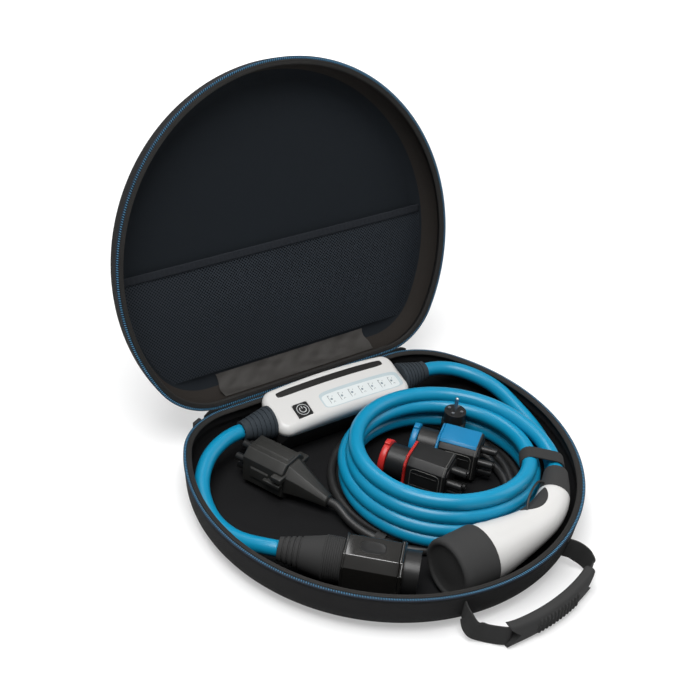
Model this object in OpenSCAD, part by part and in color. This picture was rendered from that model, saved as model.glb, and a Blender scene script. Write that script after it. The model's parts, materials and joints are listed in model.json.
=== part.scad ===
// Portable electric-car charging kit in a round zip case, lid open, contents laid in the base.
// Millimetres, +Z up; the floor is z = 0, the big circle's centre is the origin, the hinge is at +Y.

/* [Case] */
// Radius of the case's big circle
case_r = 200; // [180:1:230]
// Distance from the circle's centre to the straight hinge side, as a share of the radius
hinge_share = 0.7; // [0.6:0.01:0.8]
// Radius of the two corners beside the hinge, as a share of the big circle's radius
corner_share = 0.38; // [0.25:0.01:0.45]
// Height of the base from the floor to the middle of the closed zip
base_h = 46; // [42:1:60]
// Height of the lid from the middle of the closed zip to its top
lid_h = 36; // [36:1:60]
// Thickness of the moulded fabric and foam wall
wall = 4; // [3:0.5:6]
// Outer radius of the rounded bottom and top edges
edge_r = 26; // [14:1:28]
// Lean of the side walls from upright, in degrees
draft = 5; // [2:1:8]
// How far the lid stands open, in degrees
lid_open = 106; // [95:1:115]
// Half of the gap between the two zip halves when the lid is shut
zip_gap = 0.4; // [0.3:0.1:1]
// Width of the zip tape that covers the rim
tape_w = 7; // [5:0.5:8]
// Thickness of the zip tape
tape_t = 2.2; // [1:0.2:3]
// Width of the zip's coil of teeth
chain_w = 2.6; // [2:0.2:4]

/* [Lid pocket] */
// Distance from the hinge to the pocket's lower edge
pocket_low = 34; // [30:1:60]
// Distance from the hinge to the pocket's upper edge
pocket_top = 152; // [100:1:200]
// Height of the hem band along the pocket's upper edge
hem_w = 9; // [6:1:16]
// Thickness of the net
net_t = 1; // [0.6:0.2:2]
// Length of the fabric flap that covers the hinge inside
flap_l = 190; // [120:1:205]

/* [Carrying handle] */
// Turn of the handle round the case from the point opposite the hinge
handle_turn = 6; // [0:1:20]
// Half of the distance between the two straps at the case
strap_x = 67; // [58:1:72]
// Width of the strap webbing
web_w = 22; // [16:1:26]
// Thickness of the strap webbing
web_t = 2; // [1.5:0.5:3]
// Radius of the grip's curve, measured from the case's centre
grip_r = 228; // [222:1:240]
// Half of the grip's angle round the case
grip_half = 14.5; // [10:0.5:15]
// Thickness of the grip
grip_t = 13; // [10:1:18]
// Height of the grip
grip_h = 26; // [24:1:34]
// Number of ribs on the grip
grip_ribs = 12; // [6:1:18]

/* [Control box] */
// Length of the control box without its boots
box_l = 164; // [150:1:170]
// Width of the control box
box_w = 52; // [48:1:54]
// Height of the control box
box_h = 60; // [56:1:62]
// Height of the lower cover, up to the seam
box_seam = 35; // [32:1:36]
// Wall of the control box covers
box_wall = 3; // [2:0.5:4]
// Position of the control box's middle along the hinge
box_x = 11; // [6:1:14]
// Position of the control box's middle towards the hinge
box_y = 102; // [100:1:102]
// Turn of the control box from the hinge line, in degrees
box_turn = -1; // [-1:0.5:1]
// Side of the square push button
button_s = 17; // [12:1:20]
// Travel of the push button
button_travel = 1; // [0.6:0.1:1.2]
// Gap round the push button
button_gap = 0.4; // [0.3:0.1:0.8]
// Length of the rubber boots
boot_l = 34; // [26:1:40]

/* [Cables] */
// Diameter of the charging cable
cable_d = 16; // [12:0.5:18]
// Diameter of the black adapter cord
cord_d = 9; // [7:0.5:9]
// Radius of the coil, to the middle of the cable
coil_r = 92; // [86:1:92]
// Position of the coil's middle across the case
coil_x = 42; // [38:1:44]
// Position of the coil's middle towards the hinge
coil_y = -28; // [-30:1:-27]

/* [Coupling] */
// Length of the coupling
coupling_l = 130; // [110:1:132]
// Width and height of the coupling's square housing
coupling_w = 46; // [38:1:46]

/* [Car connector] */
// Radius of the connector's round front
nose_r = 26; // [22:1:28]
// Radius of the dust cap
cap_r = 31; // [29:0.5:31]
// Length of the dust cap
cap_l = 40; // [36:1:42]
// Thickness of the dust cap's wall
cap_wall = 2.5; // [2:0.5:3]

/* [Plug adapters] */
// Length of an adapter without its pins
adapter_l = 72; // [60:1:74]
// Width of an adapter's housing
adapter_w = 39; // [32:1:40]
// Height of an adapter's housing
adapter_h = 44; // [36:1:46]
// Length of an adapter's pin sleeves
sleeve_l = 16; // [10:1:18]

/* [Wall plugs] */
// Length of the black plug's body
plug_l = 48; // [40:1:50]
// Width and height of the black plug's body
plug_w = 44; // [36:1:46]
// Radius of the round plug's body
round_r = 13; // [11:0.5:13]
// Height of the round plug's body
round_h = 48; // [40:1:52]

/* [Hidden] */
// Which sub-part to show

$fn = 48;

charcoal = "#26262a";
lining = "#1c2026";
tape_grey = "#3a3b3e";
zip_blue = "#2f7fb4";
cable_blue = "#1f90c4";
white = "#e4e4e2";
black = "#232325";
navy = "#2c333d";
red = "#cd322d";
blue = "#1482c8";
metal = "#b9bdc2";

// Small clearance between seated pieces, and a small overlap for cuts
fit = 0.2;
eps = 0.01;

// Hinge side and corners of the case
hinge_y = case_r * hinge_share;
corner_r = case_r * corner_share;
// Case outline: angle where the big circle runs into the corners, and the corner centres
corner_y = hinge_y - corner_r;
corner_x = sqrt(pow(case_r - corner_r, 2) - pow(corner_y, 2));
tangent = atan2(corner_y, corner_x);
arc_steps = 40;
corner_steps = 7;
edge_steps = 5;
floor_z = wall;

// The contents are laid out for this case radius, and grow and shrink with the case
laid_share = case_r / 200;
module laid() translate([0, 0, floor_z]) scale(laid_share) translate([0, 0, -floor_z]) children();

// Points of the case outline moved outwards by u, anticlockwise from the left corner
function outline(u) = concat(
    [for (k = [0 : arc_steps]) let (a = 180 - tangent + k * (180 + 2 * tangent) / arc_steps)
        [(case_r + u) * cos(a), (case_r + u) * sin(a)]],
    [for (k = [1 : corner_steps]) let (a = tangent + k * (90 - tangent) / corner_steps)
        [corner_x + (corner_r + u) * cos(a), corner_y + (corner_r + u) * sin(a)]],
    [for (k = [0 : corner_steps - 1]) let (a = 90 + k * (90 - tangent) / corner_steps)
        [-corner_x + (corner_r + u) * cos(a), corner_y + (corner_r + u) * sin(a)]]);

// Middle of the rounded edge, measured outwards from the outline, for a wall of height h
function edge_u(h) = -edge_r * cos(draft) - (h - edge_r + edge_r * sin(draft)) * tan(draft);

// Place of the side wall at height z below a rim at height h, moved inwards by t
function side_u(h, z, t) = -(h - z) * tan(draft) - t / cos(draft);

// Wall section from the outside of the floor over the rim to its inside; rim stops at height top
function dish(h, top) = concat(
    [for (k = [0 : edge_steps]) let (a = -90 + k * (90 - draft) / edge_steps)
        [edge_u(h) + edge_r * cos(a), edge_r + edge_r * sin(a)]],
    [[side_u(h, top, 0), top], [side_u(h, top, wall), top]],
    [for (k = [0 : edge_steps]) let (a = -draft - k * (90 - draft) / edge_steps)
        [edge_u(h) + (edge_r - wall) * cos(a), edge_r + (edge_r - wall) * sin(a)]]);

// A section drawn for a rim at height h, turned over onto the lid
function lid_side(section, h) =
    [for (k = [len(section) - 1 : -1 : 0]) [section[k][0], base_h + h - section[k][1]]];

// Sweeps a section round the case outline: closed sections make a hoop, open ones a dish with a floor
module case_sweep(section, hoop) {
    n = len(outline(0));
    m = len(section);
    last = hoop ? m - 1 : m - 2;
    points = [for (s = section) for (p = outline(s[0])) [p[0], p[1], s[1]]];
    sides = [for (j = [0 : last]) for (i = [0 : n - 1]) let (j2 = (j + 1) % m, i2 = (i + 1) % n)
        [j * n + i, j2 * n + i, j2 * n + i2, j * n + i2]];
    floors = hoop ? [] : [[for (i = [0 : n - 1]) i], [for (i = [n - 1 : -1 : 0]) (m - 1) * n + i]];
    polyhedron(points, concat(sides, floors), convexity = 6);
}

// Swings what was drawn on the shut lid to where the lid stands open
module on_lid() {
    translate([0, hinge_y, base_h]) rotate([-lid_open, 0, 0]) translate([0, -hinge_y, -base_h]) children();
}

// Heights of the zip: the shell stops below the tape, the teeth stand at the outer edge
shell_top = base_h - zip_gap - tape_t;
tape_out = side_u(base_h, shell_top, 0) - chain_w;
tape_section = [[tape_out, shell_top], [tape_out, base_h - zip_gap],
                [tape_out - tape_w + 2, base_h - zip_gap], [tape_out - tape_w, shell_top],
                [tape_out - tape_w + 0.6, shell_top - 1.4],
                [side_u(base_h, shell_top, wall) - fit, shell_top]];
teeth_section = [[tape_out + chain_w, shell_top], [tape_out + chain_w, base_h - zip_gap - 0.7],
                 [tape_out + chain_w - 0.7, base_h - zip_gap], [tape_out, base_h - zip_gap],
                 [tape_out, shell_top]];

module base_shell() color(charcoal) case_sweep(dish(base_h, shell_top), false);
module base_zip_tape() color(tape_grey) case_sweep(tape_section, true);
module base_zip_teeth() color(zip_blue) case_sweep(teeth_section, true);
lid_dish = lid_side(dish(lid_h, lid_h - zip_gap - tape_t), lid_h);
module lid_shell() color(charcoal) on_lid() case_sweep(lid_dish, false);
module lid_zip_tape() color(tape_grey) on_lid() case_sweep(lid_side(tape_section, base_h), true);
module lid_zip_teeth() color(zip_blue) on_lid() case_sweep(lid_side(teeth_section, base_h), true);

// Slider and pull tab at the end of the zip, behind the left corner
slider_a = 115;
module zip_slider() color(charcoal)
    translate([-corner_x, corner_y, 0]) rotate([0, 0, slider_a]) translate([corner_r + fit, 0, shell_top]) {
        translate([0, -5, -6]) cube([3.4, 10, 8]);
        translate([1, -2.5, -24]) cube([1.6, 5, 18 + eps]);
    }

// Net pocket inside the lid, sewn to the lid's edge a little below the panel
net_below = 3;
lid_panel_z = base_h + lid_h - wall;
net_u = edge_u(lid_h) + sqrt(pow(edge_r - wall, 2) - pow(edge_r - wall - net_below, 2)) - 0.4;
module pocket_area(low, top) intersection() {
    polygon(outline(net_u));
    translate([-case_r, hinge_y - top]) square([2 * case_r, top - low]);
}
module pocket_net() color(lining) on_lid() translate([0, 0, lid_panel_z - net_below - net_t])
    linear_extrude(net_t) pocket_area(pocket_low, pocket_top - hem_w);
module pocket_hem() color(tape_grey) on_lid() translate([0, 0, lid_panel_z - net_below - 2 * net_t])
    linear_extrude(2 * net_t) pocket_area(pocket_top - hem_w, pocket_top);

// Strip along the hinge, drawn as a side section and run along X
module along_hinge(l, section) rotate([90, 0, 90]) translate([0, 0, -l / 2])
    linear_extrude(l) polygon(section);

// Flap inside the lid over the hinge: up the lid's hinge-side wall and round its rounded edge
flap_t = 1;
flap_turn = 62;
function flap_arc(r) = [for (k = [0 : edge_steps]) let (a = draft + k * (flap_turn - draft) / edge_steps)
    [hinge_y + edge_u(lid_h) + r * cos(a), base_h + lid_h - edge_r + r * sin(a)]];
flap_out = flap_arc(edge_r - wall - 2 * fit);
flap_in = flap_arc(edge_r - wall - 2 * fit - flap_t);
module hinge_flap() color(tape_grey) on_lid() along_hinge(flap_l,
    concat(flap_out, [for (k = [edge_steps : -1 : 0]) flap_in[k]]));

// Band outside the base that the hinge cloth is sewn under
band_h = 16;
band_t = 1.2;
function band_y(z, t) = hinge_y + side_u(base_h, z, -fit) + t;
// Round bead of cloth on the hinge line, that the lid turns about
bead_r = 0.62;
bead = [for (a = [-40 : 40 : 240]) [hinge_y + bead_r * cos(a), base_h + bead_r * sin(a)]];
module hinge_band() color(charcoal) along_hinge(flap_l, concat(
    [[band_y(shell_top, 0), shell_top], [band_y(shell_top - band_h, 0), shell_top - band_h],
     [band_y(shell_top - band_h, band_t), shell_top - band_h], [band_y(shell_top, band_t), shell_top]],
    bead, [[band_y(shell_top, 0), base_h - 1.2]]));

// Smooth path through hand-chosen points: Catmull-Rom, with a number of steps for each span
function at(p, k) = p[min(max(k, 0), len(p) - 1)];
function spline_point(p, k, t) = 0.5 * (2 * at(p, k) + (at(p, k + 1) - at(p, k - 1)) * t
    + (2 * at(p, k - 1) - 5 * at(p, k) + 4 * at(p, k + 1) - at(p, k + 2)) * t * t
    + (3 * at(p, k) - at(p, k - 1) - 3 * at(p, k + 1) + at(p, k + 2)) * t * t * t);
function spline(p, steps) = concat([for (k = [0 : len(p) - 2]) for (t = [0 : steps - 1])
    spline_point(p, k, t / steps)], [p[len(p) - 1]]);
function unit(v) = v / norm(v);
function flat3(v) = [v[0], v[1], v[2]];

// Solid loft along points [x, y, z, half width, half height] from ring a to ring b, rings of n sides
module loft(path, n, a, b) {
    m = b - a + 1;
    points = [for (k = [a : b]) let (
            here = flat3(path[k]),
            ahead = unit(flat3(at(path, k + 1)) - flat3(at(path, k - 1))),
            side = unit(cross([0, 0, 1], ahead)),
            top = cross(ahead, side))
        for (i = [0 : n - 1]) let (a = i * 360 / n)
            here + side * path[k][3] * cos(a) + top * path[k][4] * sin(a)];
    skin = [for (k = [0 : m - 2]) for (i = [0 : n - 1]) let (i2 = (i + 1) % n)
        [k * n + i, (k + 1) * n + i, (k + 1) * n + i2, k * n + i2]];
    ends = [[for (i = [0 : n - 1]) i], [for (i = [n - 1 : -1 : 0]) (m - 1) * n + i]];
    polyhedron(points, concat(skin, ends), convexity = 4);
}
module tube(points, d, steps) {
    path = [for (p = spline(points, steps)) [p[0], p[1], p[2], d / 2, d / 2]];
    laid() loft(path, 12, 0, len(path) - 1);
}

// Flat webbing along points, standing on edge, w wide and t thick
module webbing(points, w, t) {
    path = spline(points, 3);
    m = len(path);
    ring = [for (k = [0 : m - 1]) let (
            ahead = unit(at(path, k + 1) - at(path, k - 1)),
            side = unit(cross([0, 0, 1], ahead)) * t / 2,
            top = unit(cross(ahead, side)) * w / 2)
        each [path[k] + side - top, path[k] + side + top, path[k] - side + top, path[k] - side - top]];
    skin = [for (k = [0 : m - 2]) for (i = [0 : 3]) let (i2 = (i + 1) % 4)
        [k * 4 + i, (k + 1) * 4 + i, (k + 1) * 4 + i2, k * 4 + i2]];
    last = (m - 1) * 4;
    polyhedron(ring, concat(skin, [[0, 1, 2, 3], [last + 3, last + 2, last + 1, last]]));
}

// Handle: two webbing straps from the case's side to the grip, which is an arc round the case
module on_handle() rotate([0, 0, handle_turn]) children();
// The grip lies a little to one side of the straps' middle; s is -1 for the left strap and 1 for the right
grip_shift = 1;
strap_shift = -5;
strap_z = 27;
// How far a strap's sewn end sits in the wall
strap_sink = 2;
function grip_way(s) = grip_shift + s * (grip_half + 0.4);
function grip_end(s) = [grip_r * sin(grip_way(s)), -grip_r * cos(grip_way(s)), grip_h / 2];
function strap_root(s) = [s * strap_x + strap_shift,
                          -sqrt(pow(case_r - strap_sink, 2) - pow(s * strap_x + strap_shift, 2)), strap_z];
left_bends = [[0, 0, 0], [-3, -7, -2], [-2, -15, -10], [6, -23, -15]];
right_bends = [[0, 0, 0], [7, -7, -3], [13, -16, -10], [12, -25, -15]];
module strap(s, bends) webbing(concat([for (b = bends) strap_root(s) + b], [grip_end(s)]), web_w, web_t);
module handle_straps() color(black) on_handle() {
    strap(-1, left_bends);
    strap(1, right_bends);
}
module grip_section(t, h) {
    r = t / 2 - 1;
    translate([-t / 2, r]) square([t, h - 2 * r]);
    translate([-t / 2 + r, 0]) square([t - 2 * r, h]);
    for (x = [r - t / 2, t / 2 - r], y = [r, h - r]) translate([x, y]) circle(r);
}
module handle_grip() color(black) on_handle() rotate([0, 0, grip_shift]) difference() {
    union() {
        rotate([0, 0, -90 - grip_half]) rotate_extrude(angle = 2 * grip_half, $fn = 96)
            translate([grip_r, 0]) grip_section(grip_t, grip_h);
        for (k = [0 : grip_ribs - 1])
            rotate([0, 0, -90 + (k - (grip_ribs - 1) / 2) * 1.15]) translate([grip_r + grip_t / 2 - 1, -1, 5])
                cube([2.2, 2, grip_h - 10]);
    }
    for (s = [-1, 1]) rotate([0, 0, -90 + s * grip_half]) translate([grip_r, 0, grip_h / 2])
        rotate([90, 0, 90]) translate([0, 0, -grip_t]) cylinder(r = 8, h = 2 * grip_t, $fn = 4);
}

// Control box, drawn with its middle at the origin and its underside at z = 0
module on_box() laid() translate([box_x, box_y, floor_z]) rotate([0, 0, box_turn]) children();
box_axis_z = 36;
box_corner = 12;
face_tilt = 16;
face_front = 42;
face_rise = 3;
arch_r = 700;
shell_r = 9;

// Rounded rectangle, l by w, corners r
module rounded(l, w, r) {
    translate([-l / 2 + r, -w / 2]) square([l - 2 * r, w]);
    translate([-l / 2, -w / 2 + r]) square([l, w - 2 * r]);
    for (x = [-1, 1], y = [-1, 1]) translate([x * (l / 2 - r), y * (w / 2 - r)]) circle(r);
}
// Frame on the sloping face: x along the box, y up the slope, z out of the face
module on_face() translate([0, -box_w / 2, face_front]) rotate([face_tilt, 0, 0]) children();
// Everything under the arched face, t below its surface
module under_face(t) on_face() translate([0, -20, -arch_r + face_rise - t]) rotate([-90, 0, 0])
    cylinder(r = arch_r, h = box_w + 60, $fn = 180);
// Outer form of the box: plan, side section and end section cut from each other
module box_form() intersection() {
    linear_extrude(box_h + 10) rounded(box_l, box_w, box_corner);
    rotate([90, 0, 90]) translate([0, 0, -box_l]) linear_extrude(2 * box_l) hull() {
        for (s = [-1, 1]) translate([s * (box_w / 2 - 20), shell_r]) circle(shell_r);
        for (s = [-1, 1]) translate([s * (box_w / 2 - 2), box_seam - 3]) circle(2);
        translate([-box_w / 2 + 5, face_front + 2]) circle(5);
        translate([box_w / 2 - 12, box_h - 12]) circle(12);
        translate([box_w / 2 - 4, box_h - 22]) circle(4);
    }
    rotate([90, 0, 0]) translate([0, 0, -box_w]) linear_extrude(2 * box_w) hull()
        for (s = [-1, 1]) {
            translate([s * (box_l / 2 - 18), 8]) circle(8);
            translate([s * (box_l / 2 - 4), box_seam - 14]) circle(4);
            translate([s * (box_l / 2 - 4), box_seam + 14]) circle(4);
            translate([s * (box_l / 2 - 12), box_h - 10]) circle(12);
        }
    under_face(0);
}
// Room inside the box, and the circuit board in it
room_z = 8;
room_l = box_l - 30;
room_w = box_w - 22 - box_wall;
board_gap = 1;
module box_room() translate([0, 0, room_z]) linear_extrude(face_front - room_z - box_wall)
    rounded(room_l, room_w, 6);

// Boss and screw places under the board
boss_x = box_l / 2 - 26;
boss_y = box_w / 2 - 20;
boss_r = 4;
screw_r = 1.5;
board_z = 22;
board_t = 1.6;
module at_bosses() for (x = [-1, 1], y = [-1, 1]) translate([x * boss_x, y * boss_y, 0]) children();

module box_lower_cover() color(black) on_box() difference() {
    union() {
        intersection() {
            difference() {
                box_form();
                box_room();
            }
            translate([-box_l, -box_w, 0]) cube([2 * box_l, 2 * box_w, box_seam - seal_t / 2]);
        }
        at_bosses() translate([0, 0, 1]) cylinder(r = boss_r, h = board_z - 1);
    }
    at_bosses() translate([0, 0, -eps]) cylinder(r = screw_r + fit, h = board_z + 1);
    at_bosses() translate([0, 0, -eps]) cylinder(r = 3, h = 2);
}
seal_t = 1;
module box_seal() color(navy) on_box() intersection() {
    difference() {
        box_form();
        box_room();
    }
    translate([-box_l, -box_w, box_seam - seal_t / 2]) cube([2 * box_l, 2 * box_w, seal_t]);
}
// Label panel, dark inlay and button on the face, given by their middles in the face frame
panel_x = 24;
panel_y = 16;
panel_l = 98;
panel_w = 18;
inlay_y = 42;
inlay_l = 134;
inlay_w = 8;
button_x = -50;
button_y = 16;
skin_t = 1.2;
button_h = 6;
module face_prism(x, y, l, w, r) on_face() translate([x, y, -10]) linear_extrude(30) rounded(l, w, r);
module box_upper_cover() color(white) on_box() difference() {
    intersection() {
        box_form();
        translate([-box_l, -box_w, box_seam + seal_t / 2]) cube([2 * box_l, 2 * box_w, box_h]);
    }
    box_room();
    difference() {
        union() {
            face_prism(panel_x, panel_y, panel_l, panel_w, 6);
            face_prism(0, inlay_y, inlay_l, inlay_w, 3);
        }
        under_face(skin_t);
    }
    on_face() translate([button_x, button_y, -button_h + button_top])
        linear_extrude(30) rounded(button_s + 2 * button_gap, button_s + 2 * button_gap, 2);
}
module box_panel() color("#c9d3d6") on_box() difference() {
    intersection() {
        face_prism(panel_x, panel_y, panel_l - 2 * fit, panel_w - 2 * fit, 6 - fit);
        under_face(fit);
    }
    under_face(skin_t);
    lamp_places() cylinder(r = lamp_r, h = 12);
}
// Row of status lamps through the panel
lamps = 7;
lamp_r = 1.3;
lamp_pitch = 13;
module lamp_places() on_face() for (k = [0 : lamps - 1])
    translate([panel_x + (k - (lamps - 1) / 2) * lamp_pitch, panel_y, -4]) children();
module box_lamps() color("#6d7d88") on_box() difference() {
    intersection() {
        lamp_places() cylinder(r = lamp_r, h = 12);
        under_face(fit);
    }
    under_face(skin_t);
}
module box_inlay() color(black) on_box() difference() {
    intersection() {
        face_prism(0, inlay_y, inlay_l - 2 * fit, inlay_w - 2 * fit, 3 - fit);
        under_face(fit);
    }
    under_face(skin_t);
}
// Push button: stands on its travel above the well's floor
button_top = 1.6;
module box_button() color(black) on_box() on_face()
    translate([button_x, button_y, -button_h + button_top + button_travel + button_gap])
        linear_extrude(button_h - button_travel - button_gap) rounded(button_s, button_s, 2);
module box_board() color("#2f6b3c") on_box() difference() {
    translate([0, 0, board_z]) linear_extrude(board_t)
        rounded(room_l - 2 * board_gap, room_w - 3 * board_gap, 4);
    at_bosses() cylinder(r = screw_r + fit, h = box_h);
}
// Three relays in a row on the board, between the bosses
relay_l = 24;
relay_w = 16;
relay_pitch = boss_x - boss_r - relay_l / 2 - 2;
module box_relays() color("#20242a") on_box() for (k = [-1 : 1])
    translate([k * relay_pitch - relay_l / 2, -relay_w / 2, board_z + board_t]) cube([relay_l, relay_w, 10]);
module box_screws() color(metal) on_box() at_bosses() {
    translate([0, 0, 2 * fit]) cylinder(r = 3 - fit, h = 1.4);
    translate([0, 0, 2 * fit]) cylinder(r = screw_r, h = board_z + board_t + 1);
}

// Rubber boot along +X: tapers from r0 to r1 over length l with ring grooves
module boot(r0, r1, l, rings) rotate([0, 90, 0]) rotate_extrude() polygon(concat(
    [[0, 0], [r0, 0], [r0, 3]],
    [for (k = [0 : rings - 1]) let (p = (l - 6) / rings, z = 3 + k * p, a = r0 + (r1 - r0) * k / rings,
        b = r0 + (r1 - r0) * (k + 1) / rings)
        each [[a - 1, z], [a - 1, z + 1], [a, z + 1], [b, z + p]]],
    [[r1, l], [0, l]]));
boot_r = 17;
boot_tip = cable_d / 2 + 2.5;
module box_boot_in() color(navy) on_box() translate([-box_l / 2, 0, box_axis_z]) mirror([1, 0, 0])
    boot(boot_r, boot_tip, boot_l, 6);
module box_boot_out() color(navy) on_box() translate([box_l / 2, 0, box_axis_z])
    boot(boot_r, boot_tip, boot_l, 6);

// Cable routes: free stretches run through points chosen by hand; the coils are rings of their outer form
strap_t = 2;
turn_rise = 12;
coil_z = floor_z + cord_d + 4 * fit + strap_t + cable_d / 2;
coil_split = coil_z + turn_rise + cable_d / 2 + fit;
coil_top = coil_z + 3 * turn_rise + cable_d / 2;
module on_coil() laid() translate([coil_x, coil_y, 0]) children();
module ring_pair(r, d, low, high) rotate_extrude($fn = 96) {
    translate([r, low + d / 2]) circle(d / 2, $fn = 32);
    translate([r, high - d / 2]) circle(d / 2, $fn = 32);
    translate([r - d / 2, low + d / 2]) square([d, high - low - d]);
}
module coil_lower() color(cable_blue) on_coil()
    ring_pair(coil_r, cable_d, coil_z - cable_d / 2, coil_split - fit);
module coil_upper() color(cable_blue) on_coil() ring_pair(coil_r, cable_d, coil_split, coil_top);

// Where a boot's tip stands, for a boot at the box's left (-1) or right (1) end
function boot_end(s) = [box_x + s * (box_l / 2 + boot_l) * cos(box_turn),
                        box_y + s * (box_l / 2 + boot_l) * sin(box_turn), floor_z + box_axis_z];
coupling_at = [-154, -47, floor_z + coupling_w / 2];
coupling_turn = -44.5;
function coupling_way(l) = l * [cos(coupling_turn), sin(coupling_turn), 0];
function box_way(l) = l * [cos(box_turn), sin(box_turn), 0];
input_points = [boot_end(-1), boot_end(-1) - box_way(7), boot_end(-1) - box_way(14), [-134, 107, 37],
                [-150, 99, 31], [-164, 79, 24], [-171, 54, 18], [-173, 28, 16], [-171, 2, 16],
                [-168, -20, 20], coupling_at - coupling_way(14), coupling_at - coupling_way(7), coupling_at];
module input_cable() color(cable_blue) tube(input_points, cable_d, 2);
output_points = [boot_end(1), boot_end(1) + box_way(7), boot_end(1) + box_way(14), [154, 94, 37],
                 [167, 80, 34], [176, 58, 33], [180, 32, 33], [180, 4, 33], [177, -26, 31], [171, -56, 26],
                 [158, -83, 20], [136, -100, 18], [110, -107, 18]];
module output_cable() color(cable_blue) tube(output_points, cable_d, 2);

// Strap that ties the coil and the connector's cable together
coil_strap_turn = -41;
coil_strap_w = 14;
tie_in = coil_r - cable_d / 2 - 0.8;
tie_low = coil_z - cable_d / 2 - fit;
tie_top = coil_top + fit;
tie_points = [[tie_in, tie_low], [99, tie_low], [100, 8], [126, 8], [132, 20], [135, 40], [135, 56],
              [108, tie_top], [tie_in, tie_top]];
module coil_strap() color(black) on_coil() rotate([0, 0, coil_strap_turn]) rotate([90, 0, 0])
    translate([0, 0, -coil_strap_w / 2]) linear_extrude(coil_strap_w) difference() {
        offset(delta = strap_t) polygon(tie_points);
        polygon(tie_points);
    }

// Coupling that takes the plug adapters, along +X from its cable end
module on_coupling() laid() translate(coupling_at) rotate([0, 0, coupling_turn]) children();
c_boot_l = 42;
c_grip_l = 18;
c_face_l = 14;
c_flange_l = 4;
c_housing_l = coupling_l - c_boot_l - c_grip_l - c_face_l;
c_grip_r = coupling_w / 2 - 2;
module coupling_boot() color(navy) on_coupling() rotate([0, 90, 0]) rotate_extrude() polygon(concat(
    [[0, 0], [11, 0]],
    [for (k = [0 : 3]) let (z = 4 + k * 5)
        each [[12 + k, z], [11 + k, z + 0.6], [11 + k, z + 1.6], [12.4 + k, z + 2.2]]],
    [[c_grip_r - 1, c_boot_l], [0, c_boot_l]]));
module coupling_grip() color(black) on_coupling() translate([c_boot_l, 0, 0]) rotate([0, 90, 0])
    rotate_extrude() polygon(concat([[0, 0], [c_grip_r - 1, 0]],
        [for (k = [0 : 7]) each [[c_grip_r, 1 + k * 2], [c_grip_r, 2 + k * 2], [c_grip_r - 0.8, 2.2 + k * 2],
                                 [c_grip_r - 0.8, 2.8 + k * 2]]],
        [[c_grip_r, c_grip_l], [0, c_grip_l]]));
module chamfered(w, h, c) polygon([[c - w / 2, -h / 2], [w / 2 - c, -h / 2], [w / 2, c - h / 2],
    [w / 2, h / 2 - c], [w / 2 - c, h / 2], [c - w / 2, h / 2], [-w / 2, h / 2 - c], [-w / 2, c - h / 2]]);
// Block along +X with a chamfered section, w across and h high
module bar(w, h, c, l) rotate([90, 0, 90]) linear_extrude(l) chamfered(w, h, c);
module coupling_housing() color("#303034") on_coupling() translate([c_boot_l + c_grip_l, 0, 0]) difference() {
    union() {
        bar(coupling_w - 2, coupling_w - 2, 9, c_housing_l - c_flange_l);
        translate([c_housing_l - c_flange_l, 0, 0]) bar(coupling_w, coupling_w, 9, c_flange_l);
    }
    translate([c_housing_l / 2 - 2, 0, coupling_w / 2 - 2]) scale([1.5, 1, 1]) cylinder(r = 8, h = 4);
}
module contact_ring(n, r) for (k = [0 : n - 1]) rotate([k * 360 / n, 0, 0]) translate([0, 0, r]) children();
module coupling_face() color(black) on_coupling() translate([coupling_l - c_face_l, 0, 0]) difference() {
    rotate([0, 90, 0]) cylinder(r = c_grip_r, h = c_face_l);
    contact_ring(5, 13) translate([2, 0, 0]) rotate([0, 90, 0]) cylinder(r = 3, h = c_face_l);
    translate([2, 0, 0]) rotate([0, 90, 0]) cylinder(r = 3, h = c_face_l);
}
module coupling_contacts() color(metal) on_coupling() translate([coupling_l - c_face_l + 2, 0, 0]) {
    contact_ring(5, 13) rotate([0, 90, 0]) cylinder(r = 2.4, h = 6);
    rotate([0, 90, 0]) cylinder(r = 2.4, h = 6);
}

// Car connector: round nose along -X under its cap, curved handle swept to the cable
seam_x = -4;
nose_y = -154;
nose_z = floor_z + cap_r + 1;
handle_r = 28;
handle_path = [[seam_x, nose_y, nose_z, handle_r, handle_r], [seam_x + 8, nose_y, nose_z, 27.6, 27.6],
               [seam_x + 22, nose_y, nose_z, 25.6, 25.6], [56, -152, 37, 20, 20], [84, -146, 39, 18, 18],
               [107, -133, 42, 16, 16], [130, -111, 45, 12, 12]];
handle_steps = 3;
handle_rings = spline(handle_path, handle_steps);
handle_end = len(handle_rings) - 1 - handle_steps;
module handle_form() laid() loft(handle_rings, 24, 0, handle_end);
module inset_cut() laid() translate([80, -147, 38.5]) rotate([0, 0, 14]) rotate([-30, 0, 0])
    translate([0, 0, 13]) scale([22, 9, 1]) cylinder(r = 1, h = 14);
module connector_handle() color(white) difference() {
    handle_form();
    inset_cut();
}
module connector_inset() color(black) intersection() {
    handle_form();
    inset_cut();
}
boot_tip_at = flat3(handle_path[len(handle_path) - 1]);
boot_way = unit(boot_tip_at - flat3(handle_rings[len(handle_rings) - 2]));
connector_points = [boot_tip_at, boot_tip_at + 5 * boot_way, boot_tip_at + 10 * boot_way, [148, -84, 48],
                    [152, -68, 50], [151, -52, 51], [146, -38, 52]];
module connector_boot() color(black) laid() loft(handle_rings, 24, handle_end, len(handle_rings) - 1);
module connector_cable() color(cable_blue) tube(connector_points, cable_d, 2);
module on_nose() laid() translate([seam_x, nose_y, nose_z]) rotate([0, -90, 0]) children();
nose_l = 31;
module pin_circle(n, r) for (k = [0 : n - 1]) rotate([0, 0, 90 + k * 360 / n])
    translate([r, 0, 0]) children();
module connector_nose() color(black) on_nose() difference() {
    cylinder(r = nose_r, h = nose_l);
    translate([0, 0, 8]) {
        cylinder(r = 4, h = nose_l);
        pin_circle(6, 14) cylinder(r = 4, h = nose_l);
    }
}
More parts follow.
